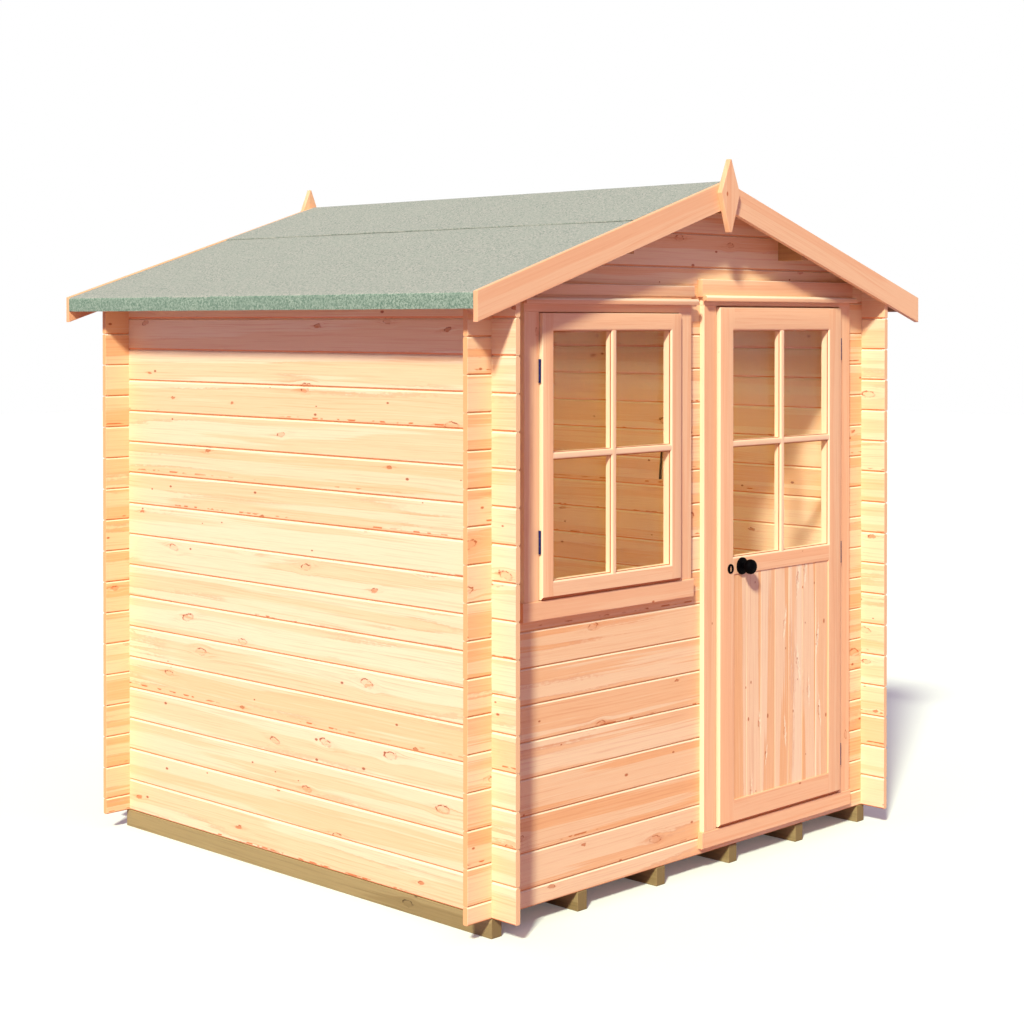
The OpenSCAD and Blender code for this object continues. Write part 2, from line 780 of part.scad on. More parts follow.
// Stiles and rails, with the pane, the panel and the spindle's bore cut out
module door_leaf() {
    color("lightsalmon") difference() {
        block([leaf_x0, leaf_face, leaf_z0], [leaf_x1, leaf_back, leaf_z1]);
        pane_cut(lp_x0, lp_x1, rail_z1, lp_z1, leaf_face, leaf_back);
        leaf_glass(joint_gap);
        block([lp_x0, leaf_face - 1, panel_z0], [lp_x1, leaf_back + 1, rail_z0]);
        leaf_panel(joint_gap);
        rod_y(knob_x, knob_mid_z, leaf_face - 1, leaf_back + 1, neck_d);
    }
}

module door_bars() {
    color("lightsalmon") bar_cross(lp_x0, lp_x1, rail_z1, lp_z1, leaf_face, door_glass_y);
}

module door_glass() {
    color("lightblue") leaf_glass(0);
}

module door_panel() {
    color("lightsalmon") leaf_panel(0);
}

// Keyhole: a slot with round ends
module keyhole(y0, y1) {
    x = leaf_x0 + keyhole_in;
    z = knob_mid_z - keyhole_drop;
    reach = (keyhole_h - keyhole_w) / 2;
    for (side = [-1, 1]) rod_y(x, z + side * reach, y0, y1, keyhole_w);
    block([x - keyhole_w / 2, y0, z - reach], [x + keyhole_w / 2, y1, z + reach]);
}

module keyhole_ring() {
    y0 = leaf_face - keyhole_ring_t;
    color("black") difference() {
        rod_y(leaf_x0 + keyhole_in, knob_mid_z - keyhole_drop, y0, leaf_face, keyhole_ring_d);
        keyhole(y0 - 1, leaf_face + 1);
    }
}

// Round plates on both faces of the leaf, bored for the spindle
module knob_roses() {
    bore = spindle_d + 2 * pin_gap;
    color("black") for (y = [leaf_face - rose_t, leaf_back])
        difference() {
            rod_y(knob_x, knob_mid_z, y, y + rose_t, rose_d);
            rod_y(knob_x, knob_mid_z, y - 1, y + rose_t + 1, bore);
        }
}

// Knobs on both ends of one spindle: the outline is turned about the spindle's axis
module door_knob() {
    neck = rose_t + knuckle_gap;
    head = (knob_out - neck) / 2;
    outline = concat(
        [[0, 0], [spindle_d / 2, 0], [spindle_d / 2, neck], [neck_d / 2, neck],
         [neck_d / 2, neck + head * 0.5]],
        [for (a = [-60 : 15 : 75])
            [knob_d / 2 * cos(a) * (a < 0 ? 1 : 0.98) + (a < -45 ? 1 : 0),
             knob_out - head * 0.75 + head * 0.75 * sin(a)]],
        [[0, knob_out]]
    );
    mid_y = (leaf_face + leaf_back) / 2;
    color("black") {
        translate([knob_x, leaf_face, knob_mid_z]) rotate([90, 0, 0])
            rotate_extrude($fn = smooth) polygon(outline);
        translate([knob_x, leaf_back, knob_mid_z]) rotate([-90, 0, 0])
            rotate_extrude($fn = smooth) polygon(outline);
        rod_y(knob_x, knob_mid_z, leaf_face - eps, leaf_back + eps, spindle_d);
    }
}

// ---- Door hinges ----

third = hinge_h / 3;

// Pins, outer knuckles and plates on the frame
module frame_hinges() {
    x = door_ap_x1 - plate_t;
    color("slategray") for (z = hinge_mids) {
        for (end = [-1, 1])
            translate([pin_x, pin_y, z + end * third - third / 2])
                cylinder(h = third - knuckle_gap / 2, d = knuckle_d, $fn = smooth);
        translate([pin_x, pin_y, z - hinge_h / 2])
            cylinder(h = hinge_h - knuckle_gap, d = pin_d, $fn = smooth);
        for (end = [-1, 1])
            block([x, pin_y, z + end * third - third / 2],
                [x + plate_t, leaf_face + leaf_t / 2, z + end * third + third / 2
                 - knuckle_gap / 2]);
        block([x, frame_face, z - hinge_h / 2],
            [x + plate_t, leaf_face + leaf_t / 2, z + hinge_h / 2 - knuckle_gap]);
    }
}

// Middle knuckles and plates on the leaf
module leaf_hinges() {
    h = third - 2 * knuckle_gap;
    front = pin_y - plate_t / 2;
    color("slategray") for (z = hinge_mids) difference() {
        union() {
            translate([pin_x, pin_y, z - h / 2])
                cylinder(h = h, d = knuckle_d, $fn = smooth);
            block([leaf_x1, front, z - h / 2], [pin_x, front + plate_t, z + h / 2]);
            block([leaf_x1, front, z - h / 2],
                [leaf_x1 + plate_t, leaf_face + leaf_t / 2, z + h / 2]);
        }
        translate([pin_x, pin_y, z - h])
            cylinder(h = 2 * h, d = pin_d + 2 * pin_gap, $fn = smooth);
    }
}

bearer(1);  // bearer_1
bearer(2);  // bearer_2
bearer(3);  // bearer_3
bearer(4);  // bearer_4
bearer(5);  // bearer_5
bearer(6);  // bearer_6
floor();
left_wall();
right_wall();
rear_wall();
front_sill_log();
front_wall_under_window();
front_wall_left_of_window();
front_wall_between();
front_wall_right_of_door();
front_gable();
ridge_purlin();
left_purlin();
right_purlin();
left_roof_boards();
right_roof_boards();
left_eaves_board();
right_eaves_board();
left_felt();
right_felt();
ridge_felt();
left_front_bargeboard();
right_front_bargeboard();
left_rear_bargeboard();
right_rear_bargeboard();
front_finial();
rear_finial();
window_frame();
window_sill();
window_header();
window_sash();
window_bars();
window_glass();
window_hinges();
window_stay();
door_frame();
threshold();
door_header();
frame_hinges();
door_leaf();
door_bars();
door_glass();
door_panel();
leaf_hinges();
knob_roses();
keyhole_ring();
door_knob();
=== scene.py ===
"""Log cabin: logs, boards, joinery, felt and fittings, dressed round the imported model.

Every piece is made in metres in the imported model's own frame: +Z up, the front facing -Y.
Wood has a "board" value on its faces, so that each board gets a figure of its own.
"""

import json
import math
import random

import bmesh
import bpy
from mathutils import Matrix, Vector, noise


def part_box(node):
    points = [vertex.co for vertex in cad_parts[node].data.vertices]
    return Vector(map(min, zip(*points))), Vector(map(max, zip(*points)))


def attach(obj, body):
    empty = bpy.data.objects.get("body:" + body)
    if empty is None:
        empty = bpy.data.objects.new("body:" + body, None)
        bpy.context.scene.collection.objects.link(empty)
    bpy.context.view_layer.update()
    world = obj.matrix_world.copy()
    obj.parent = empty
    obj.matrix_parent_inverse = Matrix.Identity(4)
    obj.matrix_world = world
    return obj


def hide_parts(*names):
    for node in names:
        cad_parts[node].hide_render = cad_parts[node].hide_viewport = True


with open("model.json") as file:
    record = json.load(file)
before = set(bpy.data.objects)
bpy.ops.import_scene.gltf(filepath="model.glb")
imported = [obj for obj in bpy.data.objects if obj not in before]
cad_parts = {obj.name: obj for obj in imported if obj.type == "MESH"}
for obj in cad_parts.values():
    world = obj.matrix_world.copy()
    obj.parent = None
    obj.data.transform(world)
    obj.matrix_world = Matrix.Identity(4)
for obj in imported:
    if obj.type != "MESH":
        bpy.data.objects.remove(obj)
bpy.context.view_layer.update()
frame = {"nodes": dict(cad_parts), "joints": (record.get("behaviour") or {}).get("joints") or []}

# ---------------------------------------------------------------- sizes of the cabin

LOG = 0.11472            # cover height of one log
LOG_FOOT = (0.0034, 0.0044)   # bevel along a log's lower edges, on front and side walls
LOG_HEAD = (0.0036, 0.0048)   # bevel along a log's upper edges, on front and side walls
LOG_GAP = 0.0012         # shadow gap between two logs
LOG_UNEVEN = 0.0012      # how much the sawn ends of the logs differ
TONGUE = 0.008           # thickness of the tongue on a log
TONGUE_RISE = 0.006
ROOF_PITCH = math.radians(18)
SLOPE = math.tan(ROOF_PITCH)
ROOF_SEAT = 0.0004       # clearance under the roof boards
FELT = 0.003
BARGE_W = 0.088
JAMB_LAP = 0.015         # how far a frame covers the ends of the logs
STOP = 0.014             # width of the stop behind the leaf and the sash
STOP_GAP = 0.005
LEAF_GAP = 0.006         # clear gap round the door leaf
SASH_GAP = 0.003         # clear gap round the sash
SILL_EAR = 0.009         # how far a sill passes the frame that stands on it
DRIP = 0.020             # depth and height of the drip moulding over a frame
MOULD = 0.0095           # depth of the moulding round a pane and on a glazing bar
MOULD_STEP = 0.0022      # step between the moulding and the wood behind it
FOOT_BEVEL = 0.0085      # bevel along the lower front edge of the sash and the leaf
BAR_W = 0.026
BAR_LET_IN = 0.004       # how far a glazing bar is let into its frame
PANEL_LET_IN = 0.006
SASH_STILE, SASH_RAIL = 0.054, 0.058
DOOR_BOARD = 0.082       # cover width of the boards in the door's panel
ROOF_BOARD = 0.0945      # cover width of the roof and floor boards
ARRIS = 0.0012           # softened corner of planed wood
HINGE_H = 0.080
SASH_HINGE_H = 0.074
KNUCKLE = 0.009
PLATE = 0.0015           # thickness of a hinge's plate
THROUGH = 0.01           # how far a cutter passes what it cuts
NEAR = 0.0002            # two places nearer than this are the same
SUN_FACING_HIGHLIGHT = 0.6          # painted highlight on joinery where it faces up or to the left, towards the sun

draw = random.Random(20)


def mid(low, high):
    return (Vector(low) + Vector(high)) / 2


def near(a, b):
    return abs(a - b) < NEAR


def painted_sun_highlight(face):
    """Painted highlight on a face of joinery, by the way it faces the sun."""
    return SUN_FACING_HIGHLIGHT if face.normal.x < -0.4 or face.normal.z > 0.4 else 0


# ---------------------------------------------------------------- modelling helpers

def deselect():
    if bpy.context.object and bpy.context.object.mode != "OBJECT":
        bpy.ops.object.mode_set(mode="OBJECT")
    bpy.ops.object.select_all(action="DESELECT")


def only(piece):
    deselect()
    piece.select_set(True)
    bpy.context.view_layer.objects.active = piece


def added(name):
    """The primitive that was added last, under its name."""
    piece = bpy.context.object
    piece.name = name
    return piece


def settle(piece):
    """Puts a piece's place and turn into its mesh."""
    only(piece)
    bpy.ops.object.transform_apply(location=True, rotation=True, scale=True)
    return piece


def block(name, low, high):
    """A squared block between two corners."""
    low, high = Vector(low), Vector(high)
    deselect()
    bpy.ops.mesh.primitive_cube_add(size=1, location=mid(low, high))
    piece = added(name)
    piece.scale = high - low
    return settle(piece)


def choose(piece, kind, test=lambda part: True):
    """Enters edit mode and selects the faces, edges or vertices that pass a test."""
    only(piece)
    bpy.ops.object.mode_set(mode="EDIT")
    bpy.ops.mesh.select_mode(type=kind)
    bpy.ops.mesh.select_all(action="DESELECT")
    mesh = bmesh.from_edit_mesh(piece.data)
    parts = {"FACE": mesh.faces, "EDGE": mesh.edges, "VERT": mesh.verts}[kind]
    for part in parts:
        part.select_set(bool(test(part)))
    mesh.select_flush_mode()
    bmesh.update_edit_mesh(piece.data)


def leave():
    bpy.ops.object.mode_set(mode="OBJECT")


def face_outwards():
    """Turns the faces of the piece in edit mode outwards."""
    bpy.ops.mesh.select_all(action="SELECT")
    bpy.ops.mesh.normals_make_consistent(inside=False)


def push_out(x=0, y=0, z=0):
    """Extrudes what is selected."""
    bpy.ops.mesh.extrude_region_move(TRANSFORM_OT_translate={"value": (x, y, z)})


def runs_along(edge, axis):
    span = edge.verts[1].co - edge.verts[0].co
    return abs(span.normalized()[axis]) > 0.99


def cut_edges(piece, width, test, steps=1):
    """Planes or rounds the edges that pass a test."""
    choose(piece, "EDGE", test)
    bpy.ops.mesh.bevel(offset=width, segments=steps, profile=0.5, affect="EDGES")
    leave()
    return piece


def cut_along(piece, axis, width, test=lambda at: True, steps=1):
    """Planes or rounds the edges along an axis whose first end passes a test."""
    return cut_edges(piece, width, lambda edge: runs_along(edge, axis)
                     and test(edge.verts[0].co), steps)


def modify(piece, kind, **settings):
    """Adds a modifier, sets it and applies it."""
    only(piece)
    modifier = piece.modifiers.new(kind.lower(), kind)
    for key, value in settings.items():
        setattr(modifier, key, value)
    bpy.ops.object.modifier_apply(modifier=modifier.name)
    return piece


def soften(piece, width=ARRIS, steps=2):
    """Takes the sharpness off every corner."""
    return modify(piece, "BEVEL", width=width, segments=steps, limit_method="ANGLE",
                  angle_limit=math.radians(25), use_clamp_overlap=True)


def carve(piece, *cutters):
    """Cuts closed solids out of another."""
    for cutter in cutters:
        modify(piece, "BOOLEAN", operation="DIFFERENCE", solver="EXACT", object=cutter)
    return piece


def saw(piece, point, normal, drop=True):
    """Saws a piece on a plane and drops what lies on the normal's side."""
    choose(piece, "FACE")
    bpy.ops.mesh.bisect(plane_co=point, plane_no=normal, use_fill=drop, clear_outer=drop)
    leave()
    return piece


def score(piece, axis, places):
    """Adds lines of edges round a piece at places along an axis."""
    for place in places:
        point, normal = [0, 0, 0], [0, 0, 0]
        point[axis], normal[axis] = place, 1
        saw(piece, point, normal, drop=False)


def discard(piece):
    bpy.data.objects.remove(piece, do_unlink=True)


def finish_with(piece, *materials):
    piece.data.materials.clear()
    for material in materials:
        piece.data.materials.append(material)
    return piece


def face_values(piece, name):
    return (piece.data.attributes.get(name)
            or piece.data.attributes.new(name, "FLOAT", "FACE")).data


def wooden(piece, material):
    """Gives a board its wood, and the value that offsets its figure."""
    if material:
        finish_with(piece, material)
    value = draw.random()
    for face in face_values(piece, "board"):
        face.value = value
    return piece


def store_painted_light(piece, value_of):
    """Stores painted highlight (up to 1) or painted shade (down to -1) for each face, by the way
    it faces.
    """
    values = face_values(piece, "edge")
    for face in piece.data.polygons:
        values[face.index].value = value_of(face)
    return piece


def assemble(name, parts):
    """Joins pieces into one object."""
    deselect()
    for part in parts:
        part.select_set(True)
    bpy.context.view_layer.objects.active = parts[0]
    if len(parts) > 1:
        bpy.ops.object.join()
    piece = added(name)
    piece.data.name = name
    return piece


def smooth(piece, angle=30):
    only(piece)
    bpy.ops.object.shade_smooth_by_angle(angle=math.radians(angle))
    return piece


def hang(piece, slot, *nodes, body="root"):
    """Hangs a piece on its body in place of the plain nodes."""
    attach(piece, body)
    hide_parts(*nodes)


def board(low, high, material, softened=ARRIS, steps=2):
    """A planed board with softened corners and a figure of its own."""
    return wooden(soften(block("board", low, high), softened, steps), material)


def boards_in_row(low, high, axis, width, material, gap=0.0012, softened=0.001):
    """A row of boards side by side along an axis, between two corners."""
    low, high = Vector(low), Vector(high)
    count = max(1, round((high[axis] - low[axis]) / width))
    step = (high[axis] - low[axis]) / count
    row = []
    for i in range(count):
        start, end = low.copy(), high.copy()
        start[axis] = low[axis] + i * step + gap / 2
        end[axis] = low[axis] + (i + 1) * step - gap / 2
        row.append(board(start, end, material, softened, 1))
    return row


def turned(name, outline, centre, toward, steps=40):
    """Turns an outline of (distance along the axis, radius) about an axis along Y."""
    point = 0.0001
    deselect()
    bpy.ops.mesh.primitive_circle_add(vertices=steps, radius=outline[0][1], fill_type="NGON")
    piece = added(name)
    bpy.ops.object.mode_set(mode="EDIT")
    bpy.ops.mesh.select_all(action="SELECT")
    for (along, radius), (next_along, next_radius) in zip(outline, outline[1:]):
        push_out(z=next_along - along)
        grow = max(next_radius, point) / max(radius, point)
        bpy.ops.transform.resize(value=(grow, grow, 1), center_override=(0, 0, 0))
    face_outwards()
    leave()
    piece.rotation_euler = (math.radians(90 if toward < 0 else -90), 0, 0)
    piece.location = centre
    return smooth(settle(piece), 35)


def rod(name, x, y, z0, z1, diameter):
    """An upright rod with softened ends."""
    deselect()
    bpy.ops.mesh.primitive_cylinder_add(vertices=28, radius=diameter / 2, depth=z1 - z0,
                                        location=(x, y, (z0 + z1) / 2))
    return soften(settle(added(name)), 0.0005, 2)


# ---------------------------------------------------------------- shader helpers

class Wire:
    """A value in a node tree. Sums and products of wires become maths nodes."""

    def __init__(self, bench, socket):
        self.bench, self.socket = bench, socket

    def __add__(self, other):
        return self.bench.maths("ADD", self, other)

    def __sub__(self, other):
        return self.bench.maths("SUBTRACT", self, other)

    def __mul__(self, other):
        return self.bench.maths("MULTIPLY", self, other)

    def __truediv__(self, other):
        return self.bench.maths("DIVIDE", self, other)


class Bench:
    """Adds nodes to a tree and links them."""

    def __init__(self, tree):
        self.tree = tree

    def node(self, kind, **settings):
        made = self.tree.nodes.new(kind if kind.startswith("Node") else "ShaderNode" + kind)
        for key, value in settings.items():
            setattr(made, key, value)
        return made

    def feed(self, socket, value):
        value = value.socket if isinstance(value, Wire) else value
        if isinstance(value, bpy.types.NodeSocket):
            self.tree.links.new(value, socket)
        else:
            socket.default_value = value

    def feed_all(self, sockets, values):
        for key, value in values.items():
            self.feed(sockets[key], value)

    def wire(self, kind, output, values, **settings):
        """Adds a node, feeds its inputs and gives one of its outputs."""
        made = self.node(kind, **settings)
        self.feed_all(made.inputs, values)
        return Wire(self, made.outputs[output])

    def split(self, kind, source):
        """The three values of a vector (XYZ) or a colour (Color)."""
        made = self.node("Separate" + kind)
        self.feed(made.inputs[0], source)
        return [Wire(self, socket) for socket in made.outputs]

    def maths(self, operation, a, b=0.0, clamp=False):
        return self.wire("Math", 0, {0: a, 1: b}, operation=operation, use_clamp=clamp)

    def length(self, vector):
        return self.wire("VectorMath", "Value", {0: vector}, operation="LENGTH")

    def combine(self, x, y, z=0.0):
        return self.wire("CombineXYZ", 0, {0: x, 1: y, 2: z})

    def ramp(self, value, low, high, to_low=0.0, to_high=1.0, kind="SMOOTHSTEP"):
        return self.wire("MapRange", 0, {"Value": value, "From Min": low, "From Max": high,
                                         "To Min": to_low, "To Max": to_high},
                         interpolation_type=kind)

    def spread(self, lot, low, high):
        """Spreads a draw between 0 and 1 evenly over a range."""
        return self.ramp(lot, 0.0, 1.0, low, high, "LINEAR")

    def noise(self, vector, scale, detail=2.0, roughness=0.5, output="Fac"):
        return self.wire("TexNoise", output, {"Vector": vector, "Scale": scale,
                                              "Detail": detail, "Roughness": roughness})

    def cells(self, vector, scale, randomness=1.0):
        """Scattered cells: distance to the centre, three draws for the cell, its centre."""
        made = self.node("TexVoronoi", voronoi_dimensions="2D", feature="F1")
        self.feed_all(made.inputs, {"Vector": vector, "Scale": scale,
                                    "Randomness": randomness})
        return (Wire(self, made.outputs["Distance"]), self.split("Color", made.outputs["Color"]),
                self.split("XYZ", made.outputs["Position"]))

    def mixed(self, factor, a, b):
        return self.wire("Mix", 2, {0: factor, 6: a, 7: b}, data_type="RGBA")

    def seen(self):
        """1 where the camera, a reflection or a pane looks at the surface itself."""
        rays = self.node("LightPath").outputs
        return self.maths("MAXIMUM", rays["Is Camera Ray"], self.maths(
            "MAXIMUM", rays["Is Glossy Ray"], rays["Is Transmission Ray"]))


def group_tree(name, inputs, outputs):
    """A node group, its bench, the values given to it and the sockets of its results."""
    tree = bpy.data.node_groups.new(name, "ShaderNodeTree")
    for label, value in inputs.items():
        kind = {float: "Float", tuple: "Color"}.get(type(value), "Vector")
        socket = tree.interface.new_socket(name=label, in_out="INPUT",
                                           socket_type="NodeSocket" + kind)
        if value is not None:
            socket.default_value = value
    for label, kind in outputs.items():
        tree.interface.new_socket(name=label, in_out="OUTPUT",
                                  socket_type="NodeSocket" + kind)
    b = Bench(tree)
    sockets = b.node("NodeGroupInput").outputs
    return (tree, b, {label: Wire(b, sockets[label]) for label in inputs},
            b.node("NodeGroupOutput").inputs)


def new_material(name):
    """A material, its bench, its shader's inputs and the coordinates it may read."""
    material = bpy.data.materials.new(name)
    material.use_nodes = True
    b = Bench(material.node_tree)
    return (material, b, material.node_tree.nodes["Principled BSDF"].inputs,
            b.node("TexCoord").outputs)


def relief(b, shader, height, strength, distance):
    b.feed(shader["Normal"], b.wire("Bump", 0, {"Strength": strength, "Distance": distance,
                                                "Height": height}))


def colour(red, green, blue):
    """A colour as linear light from its 0 to 255 values."""
    def linear(value):
        value /= 255
        return value / 12.92 if value <= 0.04045 else ((value + 0.055) / 1.055) ** 2.4
    return (linear(red), linear(green), linear(blue), 1.0)


# ---------------------------------------------------------------- wood

def make_pine_figure():
    """Figure of planed softwood: bands, growth lines and knots, with the grain along X."""
    tree, b, given, result = group_tree("pine_figure", {
        "Grain Space": None, "Grain Normal": None, "Board": 0.0,
        "Pale": (0.9, 0.7, 0.4, 1), "Warm": (0.9, 0.55, 0.3, 1), "Line": (0.7, 0.3, 0.1, 1),
        "Knot": (0.4, 0.15, 0.04, 1), "Knot Size": 0.011, "Knot Share": 0.5,
        # Edge: painted highlight above 0, painted shade below 0, in the two colours after it,
        # which also tint the flame and the torn flecks
        "Knot Stretch": 2.3, "Torn": 0.0, "Flame": 0.0, "Across Face": 0.0, "Edge": 0.0,
        "Flame And Painted Highlight": (1.0, 0.9, 0.6, 1), "Fleck And Painted Shade": (0.8, 0.25, 0.06, 1),
    }, {"Color": "Color", "Roughness": "Float", "Height": "Float"})

    along, depth, rise = b.split("XYZ", given["Grain Space"])
    shift = given["Board"] * 37.0
    along = along + shift
    across = rise + depth + shift * 0.71
    inward = depth - rise

    # Knots sit in loose cells, and a draw per cell says which cells have one
    squeeze = 0.5
    _, lot, centre = b.cells(b.combine(along * squeeze, across), 6.0, 0.85)
    push = b.split("Color", b.noise(b.combine(along, across, inward), 62.0, 3.0,
                                    output="Color"))
    off_along = (along * squeeze - centre[0]) / squeeze + (push[0] - 0.5) * 0.022
    off_across = across - centre[1] + (push[1] - 0.5) * 0.012
    off_across = off_across + off_along * b.spread(lot[2], -0.18, 0.18)
    present = b.maths("GREATER_THAN", given["Knot Share"], lot[0])
    size = given["Knot Size"] * b.spread(lot[1], 0.35, 1.15)

    def reach_of(stretch, aside=0.0):
        return b.length(b.combine(off_along / stretch, off_across - aside)) / size

    ratio = reach_of(given["Knot Stretch"])
    core = b.ramp(ratio, 1.0, 0.8) * present
    rim = b.ramp(ratio, 0.72, 0.93) * b.ramp(ratio, 1.22, 1.0) * present
    rim = rim * b.ramp(push[2], 0.40, 0.54, 0.15, 1.0)
    rim = rim * b.ramp(off_across + off_along * 0.2, -0.006, 0.006, 0.35, 1.0)
    halo = b.ramp(ratio, 3.4, 0.9) * present
    tail = b.ramp(reach_of(given["Knot Stretch"] * 3.4), 1.5, 0.35) * present
    small = b.ramp(lot[1], 0.55, 0.25)

    # Pin knots
    pin_scale = 15.0
    distance, pin_lot, _ = b.cells(b.combine(along * 0.55, across + 3.3), pin_scale)
    pin = b.ramp(distance / pin_scale / b.spread(pin_lot[1], 0.0021, 0.0056), 1.15, 0.5)
    pin = pin * b.maths("GREATER_THAN", given["Knot Share"] * 0.22, pin_lot[0])

    # Growth lines spread to pass round a knot
    drift = b.noise(b.combine(along * 0.9, across * 6.0, shift), 1.0)
    flow = across - off_across * halo * 0.62 + drift * 0.030

    def grain(length, width, inner, detail=1.0, roughness=0.5):
        return b.noise(b.combine(along * length, flow * width, inner), 1.0, detail, roughness)

    streak = grain(1.8, 165.0, inward * 30.0, 4.0, 0.66)
    fine = grain(9.0, 520.0, inward * 200.0, 3.0, 0.6)
    band = grain(0.55, 17.0, shift * 3.0, 2.0, 0.45)
    tear = grain(40.0, 90.0, shift, 2.0, 0.6)
    torn = b.ramp(grain(1.6, 8.0, shift + 5.0), 0.52, 0.62) * given["Torn"]
    ragged = band + (streak - 0.5) * 0.15 + (tear - 0.5) * torn * 0.08
    heart = b.ramp(ragged, 0.485, 0.530)
    border = b.ramp(ragged, 0.470, 0.495) * b.ramp(ragged, 0.530, 0.505) * torn
    lines = b.ramp(streak, 0.50, 0.68)
    light = b.ramp(streak, 0.46, 0.30)
    faint = b.ramp(fine, 0.35, 0.75)

    # Boards differ a little from one another
    own = b.split("Color", b.wire("TexWhiteNoise", "Color", {"W": given["Board"] * 913.0},
                                  noise_dimensions="1D"))

    # A row of torn flecks along a log, a little above its lower edge
    row = given["Across Face"] + (drift - 0.5) * 0.08 - b.spread(own[0], 0.02, 0.15)
    flecks = b.ramp(grain(26.0, 60.0, shift), 0.52, 0.60)
    flecks = flecks * b.ramp(b.maths("ABSOLUTE", row), 0.030, 0.012)
    flecks = flecks * b.ramp(b.noise(b.combine(along * 1.3, shift), 1.0, 1.0), 0.46, 0.56)
    flecks = flecks * b.maths("GREATER_THAN", own[2], 0.45)
    flecks = flecks * (given["Torn"] * b.maths("GREATER_THAN", given["Across Face"], 0.002))

    # A pale ragged flame beside a knot, where the grain was planed against its run
    flame = b.ramp(reach_of(given["Knot Stretch"] * 4.0, -0.0055), 1.25, 0.55) * present
    flame = flame * (b.ramp(push[2], 0.40, 0.50, 0.25, 1.0) * given["Flame"])

    warmth = b.maths("ADD", heart * 0.58, own[0] * 0.42, clamp=True)
    wood = b.mixed(warmth, given["Pale"], given["Warm"])
    for share, tone in (
            (light * 0.45, given["Pale"]),
            (lines * b.spread(own[1], 0.12, 0.32), given["Line"]),
            (faint * 0.12, given["Line"]),
            (border * 0.35, given["Line"]),
            (tail * (lines * 0.45 + 0.10), given["Line"]),
            (flame, given["Flame And Painted Highlight"]),
            (core * (small * 0.55 + 0.12), given["Line"]),
            (core * small * 0.35, given["Knot"]),
            (flecks * 0.90, b.mixed(0.4, given["Fleck And Painted Shade"], given["Knot"])),
            (rim * 0.95, given["Knot"]),
            (pin * 0.85, given["Knot"])):
        wood = b.mixed(share, wood, tone)

    # End grain: growth rings round a pith below the board
    pith = b.length(b.combine(depth + 0.03, rise + shift * 0.013))
    ring = b.maths("SINE", pith * 1500.0)
    end_wood = b.mixed(b.ramp(ring, -0.2, 0.9) * 0.30, given["Warm"], given["Line"])
    facing = b.split("XYZ", given["Grain Normal"])[0]
    is_end = b.ramp(b.maths("ABSOLUTE", facing), 0.8, 0.9)
    wood = b.mixed(is_end, wood, end_wood)

    # Planed edges: painted highlight where they face up or out, painted shade where they face
    # down
    wood = b.mixed(b.maths("MAXIMUM", given["Edge"], 0.0), wood, given["Flame And Painted Highlight"])
    wood = b.mixed(b.maths("MAXIMUM", given["Edge"] * -1.0, 0.0), wood, given["Fleck And Painted Shade"])
    b.feed_all(result, {
        "Color": wood, "Roughness": faint * 0.16 + 0.50 + is_end * 0.15,
        "Height": lines * 0.5 + fine * 0.35 - rim * 0.9 - border * 0.6})
    return tree


PINE_FIGURE = make_pine_figure()

# Turn that brings a board's grain to X, by the axis that its grain runs along
GRAIN_TURN = {
    "x": (0, 0, 0),
    "y": (0, 0, -math.pi / 2),
    "z": (0, math.pi / 2, 0),
    "left_slope": (0, ROOF_PITCH, 0),
    "right_slope": (0, -ROOF_PITCH, 0),
}

PINE_TONES = {
    # name: pale wood, warm wood, growth lines, knots, painted shade on edges that face down
    # (also in the torn flecks)
    # side: paler and yellower than front, though the same pine; painted light of the stronger
    # sun on the side walls
    "side": ((252, 230, 188), (247, 207, 155), (222, 142, 84), (156, 68, 30), (236, 126, 60)),
    "front": ((252, 224, 176), (245, 188, 128), (218, 132, 80), (184, 92, 38),
              (216, 124, 58)),
    "joinery": ((249, 207, 158), (244, 190, 140), (222, 144, 96), (190, 98, 46),
                (184, 90, 40)),
    "panel": ((254, 230, 188), (244, 186, 126), (212, 132, 84), (186, 92, 40),
              (196, 110, 60)),
    # purlin: darker than the other pine, painted shade for the purlins under the roof
    "purlin": ((206, 168, 112), (188, 144, 90), (148, 98, 56), (104, 60, 32),
               (120, 78, 44)),
    "soffit": ((196, 176, 150), (180, 152, 122), (140, 106, 78), (96, 62, 40),
               (120, 80, 50)),
    "treated": ((168, 152, 102), (140, 122, 76), (96, 80, 42), (72, 54, 28), (90, 70, 36)),
}


def pine(name, tone, grain, knot_size=0.010, knot_share=0.4, stretch=2.3, depth=0.25, torn=0.0,
         flame=0.0):
    """A softwood material with its grain along one axis."""
    material, b, shader, coordinates = new_material(name)
    figure = b.node("Group", node_tree=PINE_FIGURE)
    # The pale colour below paints the highlight on faces turned up or to the sun, and the flame
    # beside knots
    values = {"Torn": torn, "Flame": flame, "Knot Size": knot_size, "Knot Share": knot_share,
              "Knot Stretch": stretch, "Flame And Painted Highlight": colour(255, 244, 204)}
    for label, kind, source in (("Grain Space", "POINT", "Object"),
                                ("Grain Normal", "NORMAL", "Normal")):
        values[label] = b.wire("Mapping", 0, {
            "Vector": coordinates[source], "Rotation": GRAIN_TURN[grain]}, vector_type=kind)
    # Edge carries painted highlight and painted shade from the way each face is turned
    for label in ("Board", "Edge", "Across Face"):
        values[label] = b.wire("Attribute", "Fac", {},
                               attribute_name=label.lower().replace(" ", "_"))
    for label, shade in zip(("Pale", "Warm", "Line", "Knot", "Fleck And Painted Shade"), PINE_TONES[tone]):
        values[label] = colour(*shade)
    b.feed_all(figure.inputs, values)
    b.feed_all(shader, {"Base Color": figure.outputs["Color"],
                        "Roughness": figure.outputs["Roughness"], "Specular IOR Level": 0.3})
    relief(b, shader, figure.outputs["Height"], depth, 0.0006)
    return material
